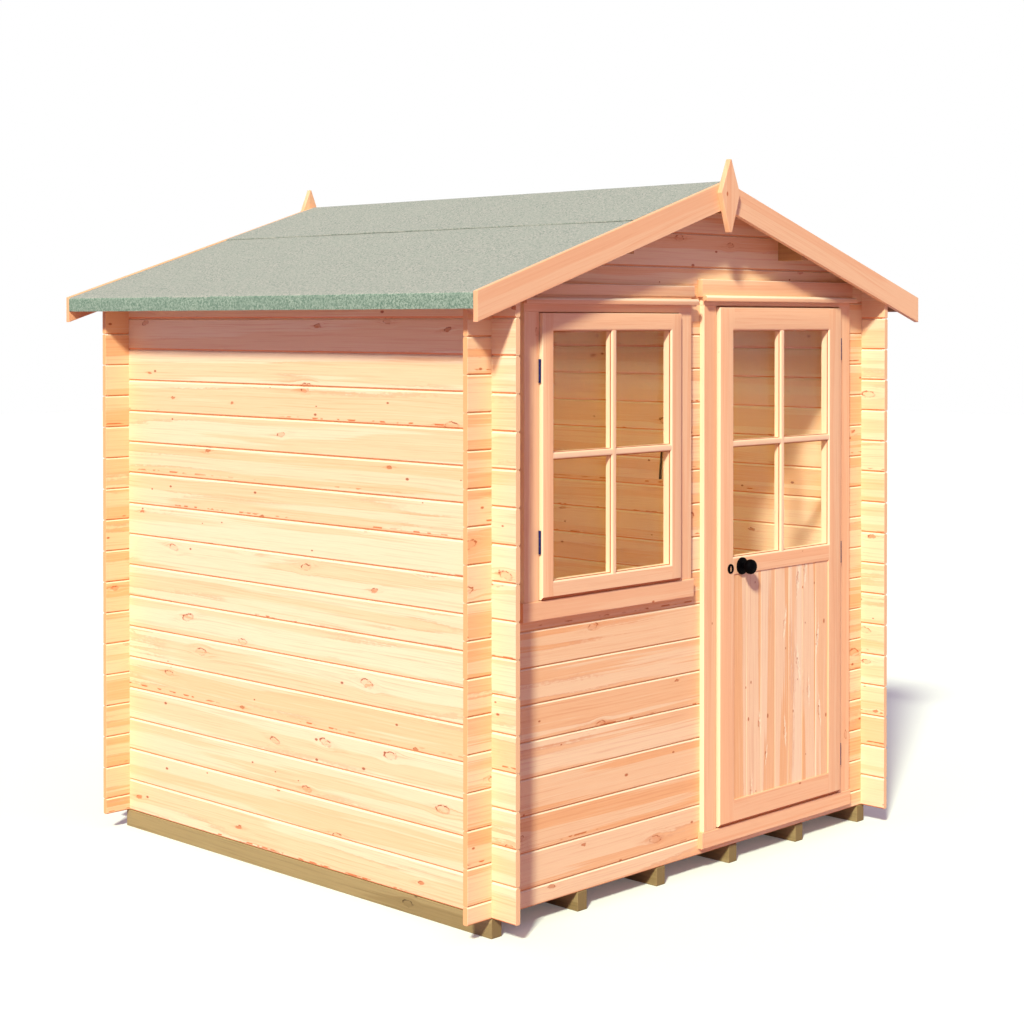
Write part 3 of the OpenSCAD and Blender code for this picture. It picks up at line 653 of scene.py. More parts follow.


# The side walls' wood is painted paler than the front's: painted sunlight
SIDE_LOG_PAINTED_SUNLIT = pine("side_log_pine_painted_sunlit", "side", "y", 0.0115, 0.55, 2.4, torn=1.0)
FRONT_LOG = pine("front_log_pine", "front", "x", 0.012, 0.42, 2.2, torn=1.0)
JOINERY_UP = pine("upright_joinery_pine", "joinery", "z", 0.007, 0.15)
JOINERY_LEVEL = pine("level_joinery_pine", "joinery", "x", 0.007, 0.15)
PANEL = pine("door_board_pine", "panel", "z", 0.006, 1.0, 3.0, torn=1.0, flame=0.85)
BARGE = {side: pine(side + "_bargeboard_pine", "joinery", side + "_slope", 0.008, 0.25)
         for side in ("left", "right")}
FINIAL = pine("finial_pine", "joinery", "z")
PURLIN_PAINTED_SHADE = pine("purlin_pine_painted_shade", "purlin", "y")
SOFFIT = {side: pine(side + "_roof_board_pine", "soffit", side + "_slope")
          for side in ("left", "right")}
EAVES = pine("eaves_board_pine", "soffit", "y")
FLOORING = pine("floor_board_pine", "side", "x")
TREATED = pine("treated_bearer_pine", "treated", "y", 0.009, depth=0.6)


# ---------------------------------------------------------------- felt, glass and metal

def make_granules():
    """Mineral granules on roofing felt: a fleck mask, a mottle mask and a height."""
    tree, b, given, result = group_tree("felt_granules", {"Place": None}, {
        "Flecks": "Float", "Mottle": "Float", "Height": "Float"})
    grain, clump, wide = (b.noise(given["Place"], scale, detail, 0.6)
                          for scale, detail in ((380.0, 2.0), (135.0, 3.0), (9.0, 4.0)))
    both = grain * 0.5 + clump * 0.5
    b.feed_all(result, {"Flecks": b.ramp(both, 0.42, 0.58), "Mottle": b.ramp(wide, 0.35, 0.65),
                        "Height": both + clump * 0.5})
    return tree


GRANULES = make_granules()


def felt_material(name, light, dark, shade):
    material, b, shader, coordinates = new_material(name)
    granules = b.node("Group", node_tree=GRANULES)
    b.feed(granules.inputs["Place"], coordinates["Object"])
    flecks, mottle = (Wire(b, granules.outputs[label]) for label in ("Flecks", "Mottle"))
    body = b.mixed(flecks, colour(*dark), colour(*light))
    b.feed_all(shader, {"Base Color": b.mixed(mottle * 0.35, body, colour(*shade)),
                        "Roughness": flecks * 0.1 + 0.82, "Specular IOR Level": 0.25})
    relief(b, shader, granules.outputs["Height"], 0.55, 0.0015)
    return material


# The same felt in two colours: paler on the slope, a painted sheen of the granules seen at a
# grazing angle, and darker and greener where it folds over the eaves
FELT_SLOPE_PAINTED_SHEEN = felt_material("felt_on_the_slope_painted_sheen", (184, 186, 171), (124, 141, 127),
                           (160, 170, 154))
FELT_FOLD = felt_material("felt_fold_at_the_eaves", (158, 180, 158), (90, 122, 102),
                          (120, 147, 127))


def metal(name, body, worn, roughness, metallic, sheen):
    """A dark finish with faint wear."""
    material, b, shader, coordinates = new_material(name)
    patch = b.ramp(b.noise(coordinates["Object"], 60.0, 4.0, 0.6), 0.45, 0.75)
    b.feed_all(shader, {"Base Color": b.mixed(patch * 0.5, colour(*body), colour(*worn)),
                        "Roughness": patch * 0.15 + roughness, "Metallic": metallic,
                        "Specular IOR Level": sheen})
    relief(b, shader, b.noise(coordinates["Object"], 900.0), 0.08, 0.0003)
    return material


BLACK_IRON = metal("black_door_fittings", (3, 2, 3), (10, 6, 9), 0.60, 0.0, 0.03)
HINGE_STEEL = metal("dark_hinge_steel", (30, 28, 82), (54, 52, 104), 0.45, 0.2, 0.25)


def glass_material():
    """Thin clear glazing: most light goes straight through, and a little is reflected."""
    material, b, shader, coordinates = new_material("clear_glazing")
    smear = b.noise(coordinates["Object"], 7.0, 4.0, 0.6)
    b.feed_all(shader, {
        "Base Color": (0.95, 0.97, 0.96, 1), "IOR": 1.45, "Transmission Weight": 1.0,
        "Roughness": b.ramp(smear, 0.4, 0.9, 0.0, 0.03),
        "Alpha": b.ramp(smear, 0.35, 0.8, 0.05, 0.10)})
    return material


GLAZING = glass_material()

# ---------------------------------------------------------------- log walls

side_low, side_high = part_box("left_wall")
rear_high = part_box("rear_wall")[1]
floor_low, floor_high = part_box("floor")
frame_low, frame_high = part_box("door_frame")
sill_low, sill_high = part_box("window_sill")
window_low, window_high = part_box("window_frame")
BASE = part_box("bearer_1")[1].z
LOG_T = side_high.x - side_low.x
HALF_W = -side_low.x
HALF_D = rear_high.y
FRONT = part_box("front_sill_log")[0].y
LOG_BACK = FRONT + LOG_T
COURSES = round((side_high.z - BASE) / LOG)
WALL_TOP = COURSES * LOG + BASE
HALF_LOG_TOP = BASE + LOG / 2    # top of the half logs under the front and rear walls


def under_roof(x):
    """Height of the roof boards' underside."""
    return WALL_TOP + (HALF_W - abs(x)) * SLOPE


def plane_to_roof(piece, *signs):
    """Saws a piece off under the roof boards, on the left (-1) or right (1) slope."""
    for sign in signs:
        saw(piece, (sign * HALF_W, 0, WALL_TOP - ROOF_SEAT), (sign * SLOPE, 0, 1))
    return piece


def log(low, high, axis, cutters=()):
    """One log between two corners, with bevelled edges along its length."""
    gap = Vector((0, 0, LOG_GAP / 2))
    piece = block("log", low + gap, high - gap)
    middle = mid(low, high).z
    cut_along(piece, axis, LOG_FOOT[axis], lambda at: at.z < middle)
    cut_along(piece, axis, LOG_HEAD[axis], lambda at: at.z > high.z - LOG_GAP)
    soften(carve(piece, *cutters), 0.0007, 1)
    share = piece.data.attributes.new("across_face", "FLOAT", "POINT")
    for vertex in piece.data.vertices:
        share.data[vertex.index].value = (vertex.co.z - low.z) / (high.z - low.z)
    # Painted highlight on the bevels that face up, painted shade on the bevels that face down
    return store_painted_light(piece, lambda face: 0 if abs(
        face.normal[axis]) > 0.3 or not 0.25 < abs(face.normal.z) < 0.93 else (
            0.75 if face.normal.z > 0 else -0.7))


def tongue(low, high, axis, cutters=()):
    """Tongue that closes the gap on top of a log, short of its ends."""
    start, end = low.copy(), high.copy()
    start[axis] += 0.02
    end[axis] -= 0.02
    middle = (low[1 - axis] + high[1 - axis]) / 2
    start[1 - axis], end[1 - axis] = middle - TONGUE / 2, middle + TONGUE / 2
    start.z, end.z = high.z - TONGUE_RISE, high.z + TONGUE_RISE
    return carve(block("tongue", start, end), *cutters)


def uneven_ends(low, high, axis):
    """The corners of a log whose two ends are sawn a little short."""
    low, high = Vector(low), Vector(high)
    ends = [draw.uniform(-LOG_UNEVEN, 0.0) for _ in range(2)]
    low[axis] -= ends[0]
    high[axis] += ends[1]
    return low, high


def side_logs(side, sign):
    """A side wall: whole logs, the top one planed to the roof's slope."""
    low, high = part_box(side + "_wall")
    logs = []
    for course in range(COURSES):
        z = BASE + course * LOG
        start, end = uneven_ends((low.x, low.y, z), (high.x, high.y, z + LOG), 1)
        if course == COURSES - 1:
            end.z += LOG_T
            piece = plane_to_roof(log(start, end, 1), sign)
        else:
            piece = log(start, end, 1)
            rod_on_top = wooden(tongue(start, end, 1), None)
            piece = assemble("log", [piece, rod_on_top])
        logs.append(wooden(piece, SIDE_LOG_PAINTED_SUNLIT))
    hang(assemble(side + "_wall_logs", logs), "log_wood", side + "_wall")


def cross_logs(name, nodes, low_y, high_y, cutters=()):
    """A front or rear wall with its gable: the logs start with half a log."""
    logs = []
    z0, z1 = BASE, HALF_LOG_TOP
    while z0 <= under_roof(0) - 0.012:
        start, end = uneven_ends((-rear_high.x, low_y, z0), (rear_high.x, high_y, z1), 0)
        hits = [cutter for cutter, foot, head in cutters if foot < z1 and head > z0]
        piece = log(start, end, 0, hits)
        whole = assemble("log", [piece, tongue(start, end, 0, hits)])
        if z1 + 0.008 > under_roof(rear_high.x):
            plane_to_roof(whole, -1, 1)
        logs.append(wooden(whole, FRONT_LOG))
        z0, z1 = z1, z1 + LOG
    hang(assemble(name, logs), "log_wood", *nodes)


def hole(name, low, high, foot):
    """A cutter for an opening in the front wall, with its foot and its head."""
    cutter = block(name, (low.x + JAMB_LAP, FRONT - 0.1, foot),
                   (high.x - JAMB_LAP, LOG_BACK + 0.1, high.z - JAMB_LAP))
    return cutter, foot, high.z - JAMB_LAP


side_logs("left", -1)
side_logs("right", 1)
cross_logs("rear_wall_logs", ["rear_wall"], HALF_D - LOG_T, HALF_D)
holes = [hole("door_hole", frame_low, frame_high, HALF_LOG_TOP),
         hole("window_hole", window_low, window_high, sill_low.z + JAMB_LAP)]
cross_logs("front_wall_logs",
           ["front_sill_log", "front_wall_under_window", "front_wall_left_of_window",
            "front_wall_between", "front_wall_right_of_door", "front_gable"],
           FRONT, LOG_BACK, holes)
for cutter, _, _ in holes:
    discard(cutter)

# ---------------------------------------------------------------- base

bearer_nodes = [n for n in sorted(frame["nodes"]) if n.startswith("bearer_")]
hang(assemble("bearers_treated", [board(*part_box(node), TREATED, 0.002)
                                  for node in bearer_nodes]), "bearer_wood", *bearer_nodes)
hang(assemble("floor_boards", boards_in_row(floor_low, floor_high, 1, ROOF_BOARD, FLOORING)),
     "floor_wood", "floor")

# ---------------------------------------------------------------- roof

felt_low, felt_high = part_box("left_felt")
cap_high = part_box("ridge_felt")[1]
ROOF_HALF = felt_high.x - felt_low.x
ROOF_BACK = felt_high.y
BOARD_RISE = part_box("left_roof_boards")[1].z - under_roof(0)
SIDES = (("left", -1), ("right", 1))


def sloped(name, sign, x_out, y0, y1, top_at_ridge, thick):
    """A slab that follows one slope down from the ridge, sawn plumb at both ends."""
    length = x_out / math.cos(ROOF_PITCH) + 4 * thick
    piece = block(name, (-length / 2, y0, -thick), (length / 2, y1, 0))
    piece.rotation_euler = (0, sign * ROOF_PITCH, 0)
    piece.location = (sign * x_out / 2, 0, top_at_ridge - x_out / 2 * SLOPE)
    settle(piece)
    saw(piece, (0, 0, 0), (-sign, 0, 0))
    return saw(piece, (sign * x_out, 0, 0), (sign, 0, 0))


def roof_boards(side, sign):
    """Boards from ridge to eaves, with V joints on their undersides."""
    node = side + "_roof_boards"
    low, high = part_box(node)
    count = round((high.y - low.y) / ROOF_BOARD)
    step = (high.y - low.y) / count
    joint = 0.0005

    def under_joint(edge):
        ends = [v.co for v in edge.verts]
        middle = mid(*ends)
        return (abs((ends[1] - ends[0]).normalized().y) < 0.1 and edge.calc_face_angle(0) > 1
                and middle.z < high.z - BOARD_RISE / 2 - abs(middle.x) * SLOPE)

    row = []
    for i in range(count):
        y0 = low.y + i * step
        piece = sloped("roof_board", sign, ROOF_HALF - FELT, y0 + joint, y0 + step - joint,
                       high.z, BOARD_RISE * math.cos(ROOF_PITCH))
        row.append(wooden(cut_edges(piece, 0.0025, under_joint), SOFFIT[side]))
    hang(assemble(side + "_roof_boarding", row), "roof_wood", node)


for side, sign in SIDES:
    roof_boards(side, sign)

for node, signs, extra, arris, wood in (
        ("ridge_purlin", (-1, 1), 0.03, 0.002, PURLIN_PAINTED_SHADE),
        ("left_purlin", (-1,), 0.03, 0.002, PURLIN_PAINTED_SHADE),
        ("right_purlin", (1,), 0.03, 0.002, PURLIN_PAINTED_SHADE),
        ("left_eaves_board", (-1,), 0.01, ARRIS, EAVES),
        ("right_eaves_board", (1,), 0.01, ARRIS, EAVES)):
    low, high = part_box(node)
    beam = plane_to_roof(block(node, low, (high.x, high.y, high.z + extra)), *signs)
    hang(assemble(node + "_planed", [wooden(soften(beam, arris), wood)]), "roof_wood", node)


def wave(point):
    """Slight unevenness of felt over boards."""
    return noise.fractal(Vector((point.x * 3.1, point.y * 3.1, point.z * 1.7)), 0.9, 2.0, 3)


def rows_along_roof(count):
    return [-ROOF_BACK + i * 2 * ROOF_BACK / count for i in range(1, count)]


def felt_sheet(side, sign):
    """Felt over one slope, folded down over the eaves board."""
    rows, columns = 72, 36
    eaves_z = felt_low.z
    fold_z = felt_high.z - ROOF_HALF * SLOPE
    deselect()
    bpy.ops.mesh.primitive_plane_add(size=1)
    sheet = added(side + "_felt_sheet")
    sheet.scale = (ROOF_HALF / math.cos(ROOF_PITCH), 2 * ROOF_BACK, 1)
    sheet.rotation_euler = (0, sign * ROOF_PITCH, 0)
    sheet.location = (sign * ROOF_HALF / 2, 0, felt_high.z - ROOF_HALF / 2 * SLOPE)
    settle(sheet)

    def at_eaves(edge):
        return all(abs(v.co.x) > ROOF_HALF - 0.001 and v.co.z > fold_z - 0.001
                   for v in edge.verts)

    choose(sheet, "EDGE", at_eaves)
    push_out(z=eaves_z - fold_z)
    leave()
    cut_edges(sheet, 0.007, at_eaves, 4)
    score(sheet, 1, rows_along_roof(rows))
    score(sheet, 0, [sign * i * (ROOF_HALF - 0.01) / columns for i in range(1, columns)])
    choose(sheet, "VERT")
    mesh = bmesh.from_edit_mesh(sheet.data)
    for vert in mesh.verts:
        edge_fade = min(1.0, (ROOF_BACK - abs(vert.co.y)) / 0.05)
        swell = wave(vert.co) * 0.0011 * max(edge_fade, 0.15)
        if vert.co.z < fold_z - 0.01:
            vert.co.x += sign * min(swell, 0.0012) - sign * 0.0004
            if vert.co.z < eaves_z + 0.001:
                vert.co.z += abs(wave(vert.co * 2.3)) * 0.0016
        else:
            vert.co.z += swell - 0.0006
    face_outwards()
    bmesh.update_edit_mesh(sheet.data)
    leave()
    if sheet.data.polygons[0].normal.z < 0:
        choose(sheet, "FACE")
        bpy.ops.mesh.flip_normals()
        leave()
    modify(sheet, "SOLIDIFY", thickness=FELT * 0.8, offset=-1)
    finish_with(sheet, FELT_SLOPE_PAINTED_SHEEN, FELT_FOLD)
    # Faces of the fold over the eaves take the darker copy, without the painted sheen
    for face in sheet.data.polygons:
        face.material_index = int(face.center.z < fold_z - 0.003
                                  and abs(face.center.x) > ROOF_HALF - 0.006)
    hang(assemble(side + "_felt_sheet", [smooth(sheet, 40)]), "roof_felt", side + "_felt")


for side, sign in SIDES:
    felt_sheet(side, sign)


def ridge_strip():
    """Felt strip laid over the ridge."""
    halves = []
    for _, sign in SIDES:
        half = sloped("strip", sign, cap_high.x, -ROOF_BACK, ROOF_BACK, cap_high.z, FELT)
        score(half, 1, rows_along_roof(60))
        choose(half, "VERT")
        mesh = bmesh.from_edit_mesh(half.data)
        for vert in mesh.verts:
            if abs(vert.co.x) > cap_high.x - 0.001:
                vert.co.x += wave(vert.co * 4) * 0.0016
                vert.co.z += 0.0006 + wave(vert.co * 2) * 0.0012
        bmesh.update_edit_mesh(half.data)
        leave()
        halves.append(half)
    strip = assemble("ridge_felt_strip", halves)
    choose(strip, "VERT")
    bpy.ops.mesh.remove_doubles(threshold=0.0002)
    leave()
    hang(smooth(finish_with(strip, FELT_SLOPE_PAINTED_SHEEN)), "roof_felt", "ridge_felt")


ridge_strip()

for end in ("front", "rear"):
    for side, sign in SIDES:
        node = side + "_" + end + "_bargeboard"
        low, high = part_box(node)
        plank = sloped(node, sign, ROOF_HALF, low.y, high.y, high.z, BARGE_W)
        hang(assemble(node + "_planed", [wooden(soften(plank, 0.0016), BARGE[side])]),
             "trim_wood", node)


def finial(node):
    """A pointed finial: sawn from one board, widest at the ridge."""
    low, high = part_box(node)
    wide_z = low.z + 0.131
    tip, foot = 0.005, 0.012
    width = high.x - low.x
    piece = block(node, low, (high.x, high.y, wide_z))
    choose(piece, "FACE", lambda face: face.normal.z < -0.9)
    bpy.ops.transform.resize(value=(foot / width, 1, 1), center_override=(0, 0, low.z))
    leave()
    choose(piece, "FACE", lambda face: face.normal.z > 0.9)
    push_out(z=high.z - wide_z)
    bpy.ops.transform.resize(value=(tip / width, 1, 1), center_override=(0, 0, high.z))
    leave()
    hang(assemble(node + "_sawn", [wooden(soften(piece, 0.0016), FINIAL)]), "trim_wood", node)


finial("front_finial")
finial("rear_finial")

# ---------------------------------------------------------------- frames and their boards

leaf_low, leaf_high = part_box("door_leaf")
sash_low, sash_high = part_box("window_sash")
threshold_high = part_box("threshold")[1]
LEAF_T = leaf_high.y - leaf_low.y


def frame_boards(which, inner_low, inner_high, gap, foot):
    """A frame that laps over the logs: cover boards, linings and stops, inside and out."""
    low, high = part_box(which + "_frame")
    x0, x1 = inner_low.x - gap, inner_high.x + gap
    z1 = inner_high.z + gap
    stop_y = inner_high.y + STOP_GAP
    parts = []
    layers = (
        # front, back, outer edge's inset, inner edge past the aperture
        (low.y, FRONT, 0.0, 0.0),
        (FRONT, stop_y, JAMB_LAP, 0.0),
        (stop_y, LOG_BACK, JAMB_LAP, STOP),
        (LOG_BACK, high.y, 0.0, STOP),
    )
    for y0, y1, inset, stop in layers:
        left, right, head = low.x + inset, high.x - inset, z1 - stop
        parts.append(board((left, y0, foot), (x0 + stop, y1, head), JOINERY_UP))
        parts.append(board((x1 - stop, y0, foot), (right, y1, head), JOINERY_UP))
        parts.append(board((left, y0, head), (right, y1, high.z - inset), JOINERY_LEVEL))
    # Painted highlight on the faces that face up or to the left
    hang(store_painted_light(assemble(which + "_frame_boards", parts), painted_sun_highlight), "joinery_wood",
         which + "_frame")


def drip_board(which, plank_h):
    """A board over a frame with a rounded drip moulding, throated on its underside."""
    node = which + "_header"
    low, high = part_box(node)
    face_y, drip_high = low.y + DRIP, low.z + DRIP
    plank = board((low.x, face_y, high.z - plank_h), (high.x, FRONT, high.z), JOINERY_LEVEL,
                  0.002)
    nose = block("drip", low, (high.x, face_y + 0.0004, drip_high))
    cut_along(nose, 0, 0.0110, lambda at: near(at.y, low.y) and near(at.z, drip_high), 6)
    throat = block("throat", (low.x - THROUGH, low.y + 0.004, low.z - THROUGH),
                   (high.x + THROUGH, low.y + 0.011, low.z + 0.0035))
    cut_along(throat, 0, 0.003, lambda at: at.z > low.z, 4)
    carve(nose, throat)
    discard(throat)
    whole = assemble(which + "_header_moulding",
                     [plank, wooden(soften(nose), JOINERY_LEVEL)])
    # Painted highlight on the faces of the moulding that face up
    store_painted_light(whole, lambda face: 0.75 if face.normal.z > 0.3 else 0)
    hang(smooth(whole), "joinery_wood", node)


def sill_boards(node, face_h, seat_z, inside_z, inside_inset):
    """A sill or threshold: a face board, a middle on the logs and an inner board."""
    low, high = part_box(node)
    lap = JAMB_LAP + SILL_EAR
    front = block("face", (low.x, low.y, high.z - face_h), (high.x, FRONT, high.z))
    cut_along(front, 0, 0.003, lambda at: near(at.y, low.y), 3)
    parts = [wooden(soften(front), JOINERY_LEVEL),
             board((low.x + lap, FRONT, seat_z), (high.x - lap, LOG_BACK, high.z),
                   JOINERY_LEVEL),
             board((low.x + inside_inset, LOG_BACK, inside_z),
                   (high.x - inside_inset, high.y, high.z), JOINERY_LEVEL)]
    hang(assemble(node + "_boards", parts), "joinery_wood", node)


frame_boards("door", leaf_low, leaf_high, LEAF_GAP, threshold_high.z)
frame_boards("window", sash_low, sash_high, SASH_GAP, sill_high.z)
drip_board("door", 0.060)
drip_board("window", 0.036)
sill_boards("window_sill", 0.061, sill_low.z + JAMB_LAP, sill_low.z, 0.0)
sill_boards("threshold", 0.057, HALF_LOG_TOP, floor_high.z, JAMB_LAP + SILL_EAR)

# ---------------------------------------------------------------- sash and leaf

def ring(low, high, openings):
    """A slab with rectangular openings cut through, each given as (x0, x1, z0, z1)."""
    slab = block("ring", low, high)
    score(slab, 0, sorted({x for opening in openings for x in opening[:2]}))
    score(slab, 2, sorted({z for opening in openings for z in opening[2:]}))
    for x0, x1, z0, z1 in openings:
        def inside(face):
            centre = face.calc_center_median()
            return abs(face.normal.y) > 0.9 and x0 < centre.x < x1 and z0 < centre.z < z1
        choose(slab, "FACE", inside)
        bpy.ops.mesh.delete(type="FACE")
        leave()
        choose(slab, "EDGE", lambda edge: edge.is_boundary)
        bpy.ops.mesh.bridge_edge_loops()
        face_outwards()
        leave()
    return slab


def bevel_opening(piece, face_y, opening, width, steps=1):
    """Bevels the front edges round an opening."""
    x0, x1, z0, z1 = opening

    def on_rim(edge):
        if not all(near(v.co.y, face_y) for v in edge.verts):
            return False
        x, _, z = mid(edge.verts[0].co, edge.verts[1].co)
        return ((near(z, z0) or near(z, z1)) and x0 - NEAR < x < x1 + NEAR) or (
            (near(x, x0) or near(x, x1)) and z0 - NEAR < z < z1 + NEAR)
    cut_edges(piece, width, on_rim, steps)


def ease_outside(piece, low, high, face_y):
    """Rounds the outer arris of a framed piece on one face."""
    def outside(edge):
        ends = [v.co for v in edge.verts]
        on_side = [all(near(c[axis], corner[axis]) for c in ends)
                   for axis in (0, 2) for corner in (low, high)]
        return sum(on_side) == 1 and all(near(c.y, face_y) for c in ends)
    cut_edges(piece, 0.0028, outside, 3)


def grain_by_member(piece, inner_x0, inner_x1, rails):
    """Uprights get upright grain, and what lies between them level grain."""
    finish_with(piece, JOINERY_UP, JOINERY_LEVEL)
    values = face_values(piece, "board")
    draws = [draw.random() for _ in range(len(rails) + 2)]
    for face in piece.data.polygons:
        x, z = face.center.x, face.center.z
        if inner_x0 <= x <= inner_x1:
            nearest = min(range(len(rails)), key=lambda i: abs(z - rails[i]))
            face.material_index = 1
            values[face.index].value = draws[2 + nearest]
        else:
            face.material_index = 0
            values[face.index].value = draws[0 if x < inner_x0 else 1]


def joined_frame(name, low, high, pane, panels, rails):
    """Stiles and rails: a moulded front layer on a plain back layer."""
    split_y = low.y + MOULD
    back = ring((low.x, split_y, low.z), high, [pane] + panels)
    ease_outside(back, low, high, high.y)
    x0, x1, z0, z1 = pane
    wider = (x0 - MOULD_STEP, x1 + MOULD_STEP, z0 - MOULD_STEP, z1 + MOULD_STEP)
    front = ring(low, (high.x, split_y, high.z), [wider] + panels)
    bevel_opening(front, low.y, wider, MOULD - MOULD_STEP, 5)
    for panel in panels:
        bevel_opening(front, low.y, panel, 0.0012)
    cut_edges(front, FOOT_BEVEL, lambda edge: all(
        near(v.co.z, low.z) and near(v.co.y, low.y) for v in edge.verts))
    ease_outside(front, low, high, low.y)
    whole = assemble(name, [front, back])
    grain_by_member(whole, x0, x1, rails)
    panel_top = max((panel[3] for panel in panels), default=low.z) + 0.002

    def painted_light_of(face):
        normal, centre = face.normal, face.center
        outer = centre.x < low.x + 0.004 or centre.z > high.z - 0.004
        if abs(centre.y - split_y + 0.0006) < 0.0008 and (normal.y < -0.9 or abs(
                normal.y) < 0.3) and not outer and centre.z > panel_top:
            return -1.0                     # painted shade in the step behind the moulding
        if normal.z < -0.4 and normal.y < -0.4 and centre.z < low.z + 0.02:
            return -1.0                     # painted shade on the bevel along the foot
        # Painted highlight on outer faces, and on faces above the panel, that face up or to the
        # left
        return painted_sun_highlight(face) if outer or centre.z > panel_top else 0
    return smooth(store_painted_light(whole, painted_light_of), 28)


def glazing_bar(low, high, axis, material):
    """A glazing bar: square at the back, rounded on both sides of a flat front."""
    low, high = Vector(low), Vector(high)
    across = 2 - axis
    back = block("bar", (low.x, low.y + MOULD, low.z), high)
    start, end = low.copy(), high.copy()
    start.y, end.y = low.y + MOULD_STEP, low.y + MOULD + 0.0002
    start[across] += MOULD_STEP
    end[across] -= MOULD_STEP
    nose = block("nose", start, end)
    cut_along(nose, axis, MOULD - MOULD_STEP * 2, lambda at: near(at.y, start.y), 6)
    choose(nose, "FACE", lambda face: face.normal.y < -0.99)
    push_out(y=-MOULD_STEP)
    leave()
    return wooden(assemble("bar", [back, nose]), material)


def glazing_bars(name, pane, node):
    """A cross of glazing bars."""
    x0, x1, z0, z1 = pane
    (_, front_y, _), (_, back_y, _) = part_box(node)
    x, z, half = (x0 + x1) / 2, (z0 + z1) / 2, BAR_W / 2
    crossing = 0.0004
    upright = glazing_bar((x - half, front_y, z0 - BAR_LET_IN),
                          (x + half, back_y, z1 + BAR_LET_IN), 2, JOINERY_UP)
    level = glazing_bar((x0 - BAR_LET_IN, front_y + crossing, z - half),
                        (x1 + BAR_LET_IN, back_y - crossing, z + half), 0, JOINERY_LEVEL)

    def painted_light_of(face):
        normal, behind = face.normal, face.center.y - front_y
        if (normal.y < -0.9 and abs(behind - MOULD) < 0.0006) or (
                abs(normal.y) < 0.3 and MOULD - 0.0018 < behind < MOULD):
            return -1.0                     # painted shade in the step behind the moulding
        # Painted highlight: slight on the front faces, stronger on faces turned up or to the
        # left
        if normal.y < -0.9:
            return 0.35
        return painted_sun_highlight(face)
    return smooth(store_painted_light(assemble(name, [upright, level]), painted_light_of), 28)


def sash():
    pane = (sash_low.x + SASH_STILE, sash_high.x - SASH_STILE,
            sash_low.z + SASH_RAIL, sash_high.z - SASH_RAIL)
    hang(joined_frame("window_sash_joined", sash_low, sash_high, pane, [],
                      [sash_low.z, sash_high.z]), "joinery_wood", "window_sash")
    hang(glazing_bars("window_glazing_bars", pane, "window_bars"), "joinery_wood",
         "window_bars")


def leaf():
    """Door leaf: stiles, three rails, a glazed top and a boarded lower panel."""
    panel_low, panel_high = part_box("door_panel")
    bars_low, bars_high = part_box("door_bars")
    x0, x1 = panel_low.x + PANEL_LET_IN, panel_high.x - PANEL_LET_IN
    panel_z0, rail_z0 = panel_low.z + PANEL_LET_IN, panel_high.z - PANEL_LET_IN
    rail_z1, top_z = bars_low.z - 0.0002, bars_high.z + 0.0002
    pane = (x0, x1, rail_z1, top_z)
    hang(joined_frame("door_leaf_joined", leaf_low, leaf_high, pane,
                      [(x0, x1, panel_z0, rail_z0)],
                      [leaf_low.z, (rail_z0 + rail_z1) / 2, leaf_high.z]),
         "joinery_wood", "door_leaf", body="door")
    hang(glazing_bars("door_glazing_bars", pane, "door_bars"), "joinery_wood", "door_bars",
         body="door")
    boards = boards_in_row(panel_low, panel_high, 0, DOOR_BOARD, PANEL, 0.0006, 0.0011)
    hang(assemble("door_panel_boards", boards), "joinery_wood", "door_panel", body="door")


sash()
leaf()
for node in ("window_glass", "door_glass"):
    finish_with(frame["nodes"][node], GLAZING)

# ---------------------------------------------------------------- hardware

joints = {joint["name"]: joint for joint in frame["joints"]}
door_pin = Vector(joints["door_hinge"]["pos_m"])
knob_at = Vector(joints["knob_turn"]["pos_m"])
LOWEST, HIGHEST = leaf_low.z + 0.138, leaf_high.z - 0.150
HINGE_HEIGHTS = [LOWEST, (LOWEST + HIGHEST) / 2, HIGHEST]


def hinge_plate(low, high):
    return soften(block("plate", low, high), 0.0004)


def hang_metal(name, parts, node, body="root", angle=30):
    """Joins metal parts, finishes them and hangs them: hinges in steel, the rest in black."""
    slot, material = (("hinge_metal", HINGE_STEEL) if node.endswith("hinges")
                      else ("black_metal", BLACK_IRON))
    hang(smooth(finish_with(assemble(name, parts), material), angle), slot, node, body=body)


def door_hinges():
    """Butt hinges: outer knuckles, pin and plate on the frame, middle knuckle on the leaf."""
    fixed, moving = [], []
    third = HINGE_H / 3
    gap = 0.0005
    x, y = door_pin.x, door_pin.y
    x_frame = leaf_high.x + LEAF_GAP
    back_y = leaf_low.y + LEAF_T / 2
    for z in HINGE_HEIGHTS:
        for end in (-1, 1):
            foot = z + end * third - third / 2 + gap / 2
            head = z + end * third + third / 2 - gap / 2
            fixed.append(rod("knuckle", x, y, foot, head, KNUCKLE))
            fixed.append(hinge_plate((x_frame - PLATE, y, foot), (x_frame, back_y, head)))
        fixed.append(rod("pin", x, y, z - HINGE_H / 2 + 0.001, z + HINGE_H / 2 - 0.001, 0.004))
        fixed.append(hinge_plate((x_frame - PLATE, frame_low.y, z - HINGE_H / 2 + gap),
                                 (x_frame, back_y, z + HINGE_H / 2 - gap)))
        foot, head = z - third / 2 + gap, z + third / 2 - gap
        moving.append(rod("knuckle", x, y, foot, head, KNUCKLE))
        moving.append(hinge_plate((leaf_high.x, y - PLATE / 2, foot), (x, y + PLATE / 2, head)))
        moving.append(hinge_plate((leaf_high.x, y - PLATE / 2, foot),
                                  (leaf_high.x + PLATE, back_y, head)))
    hang_metal("frame_hinge_halves", fixed, "frame_hinges")
    hang_metal("leaf_hinge_halves", moving, "leaf_hinges", "door")


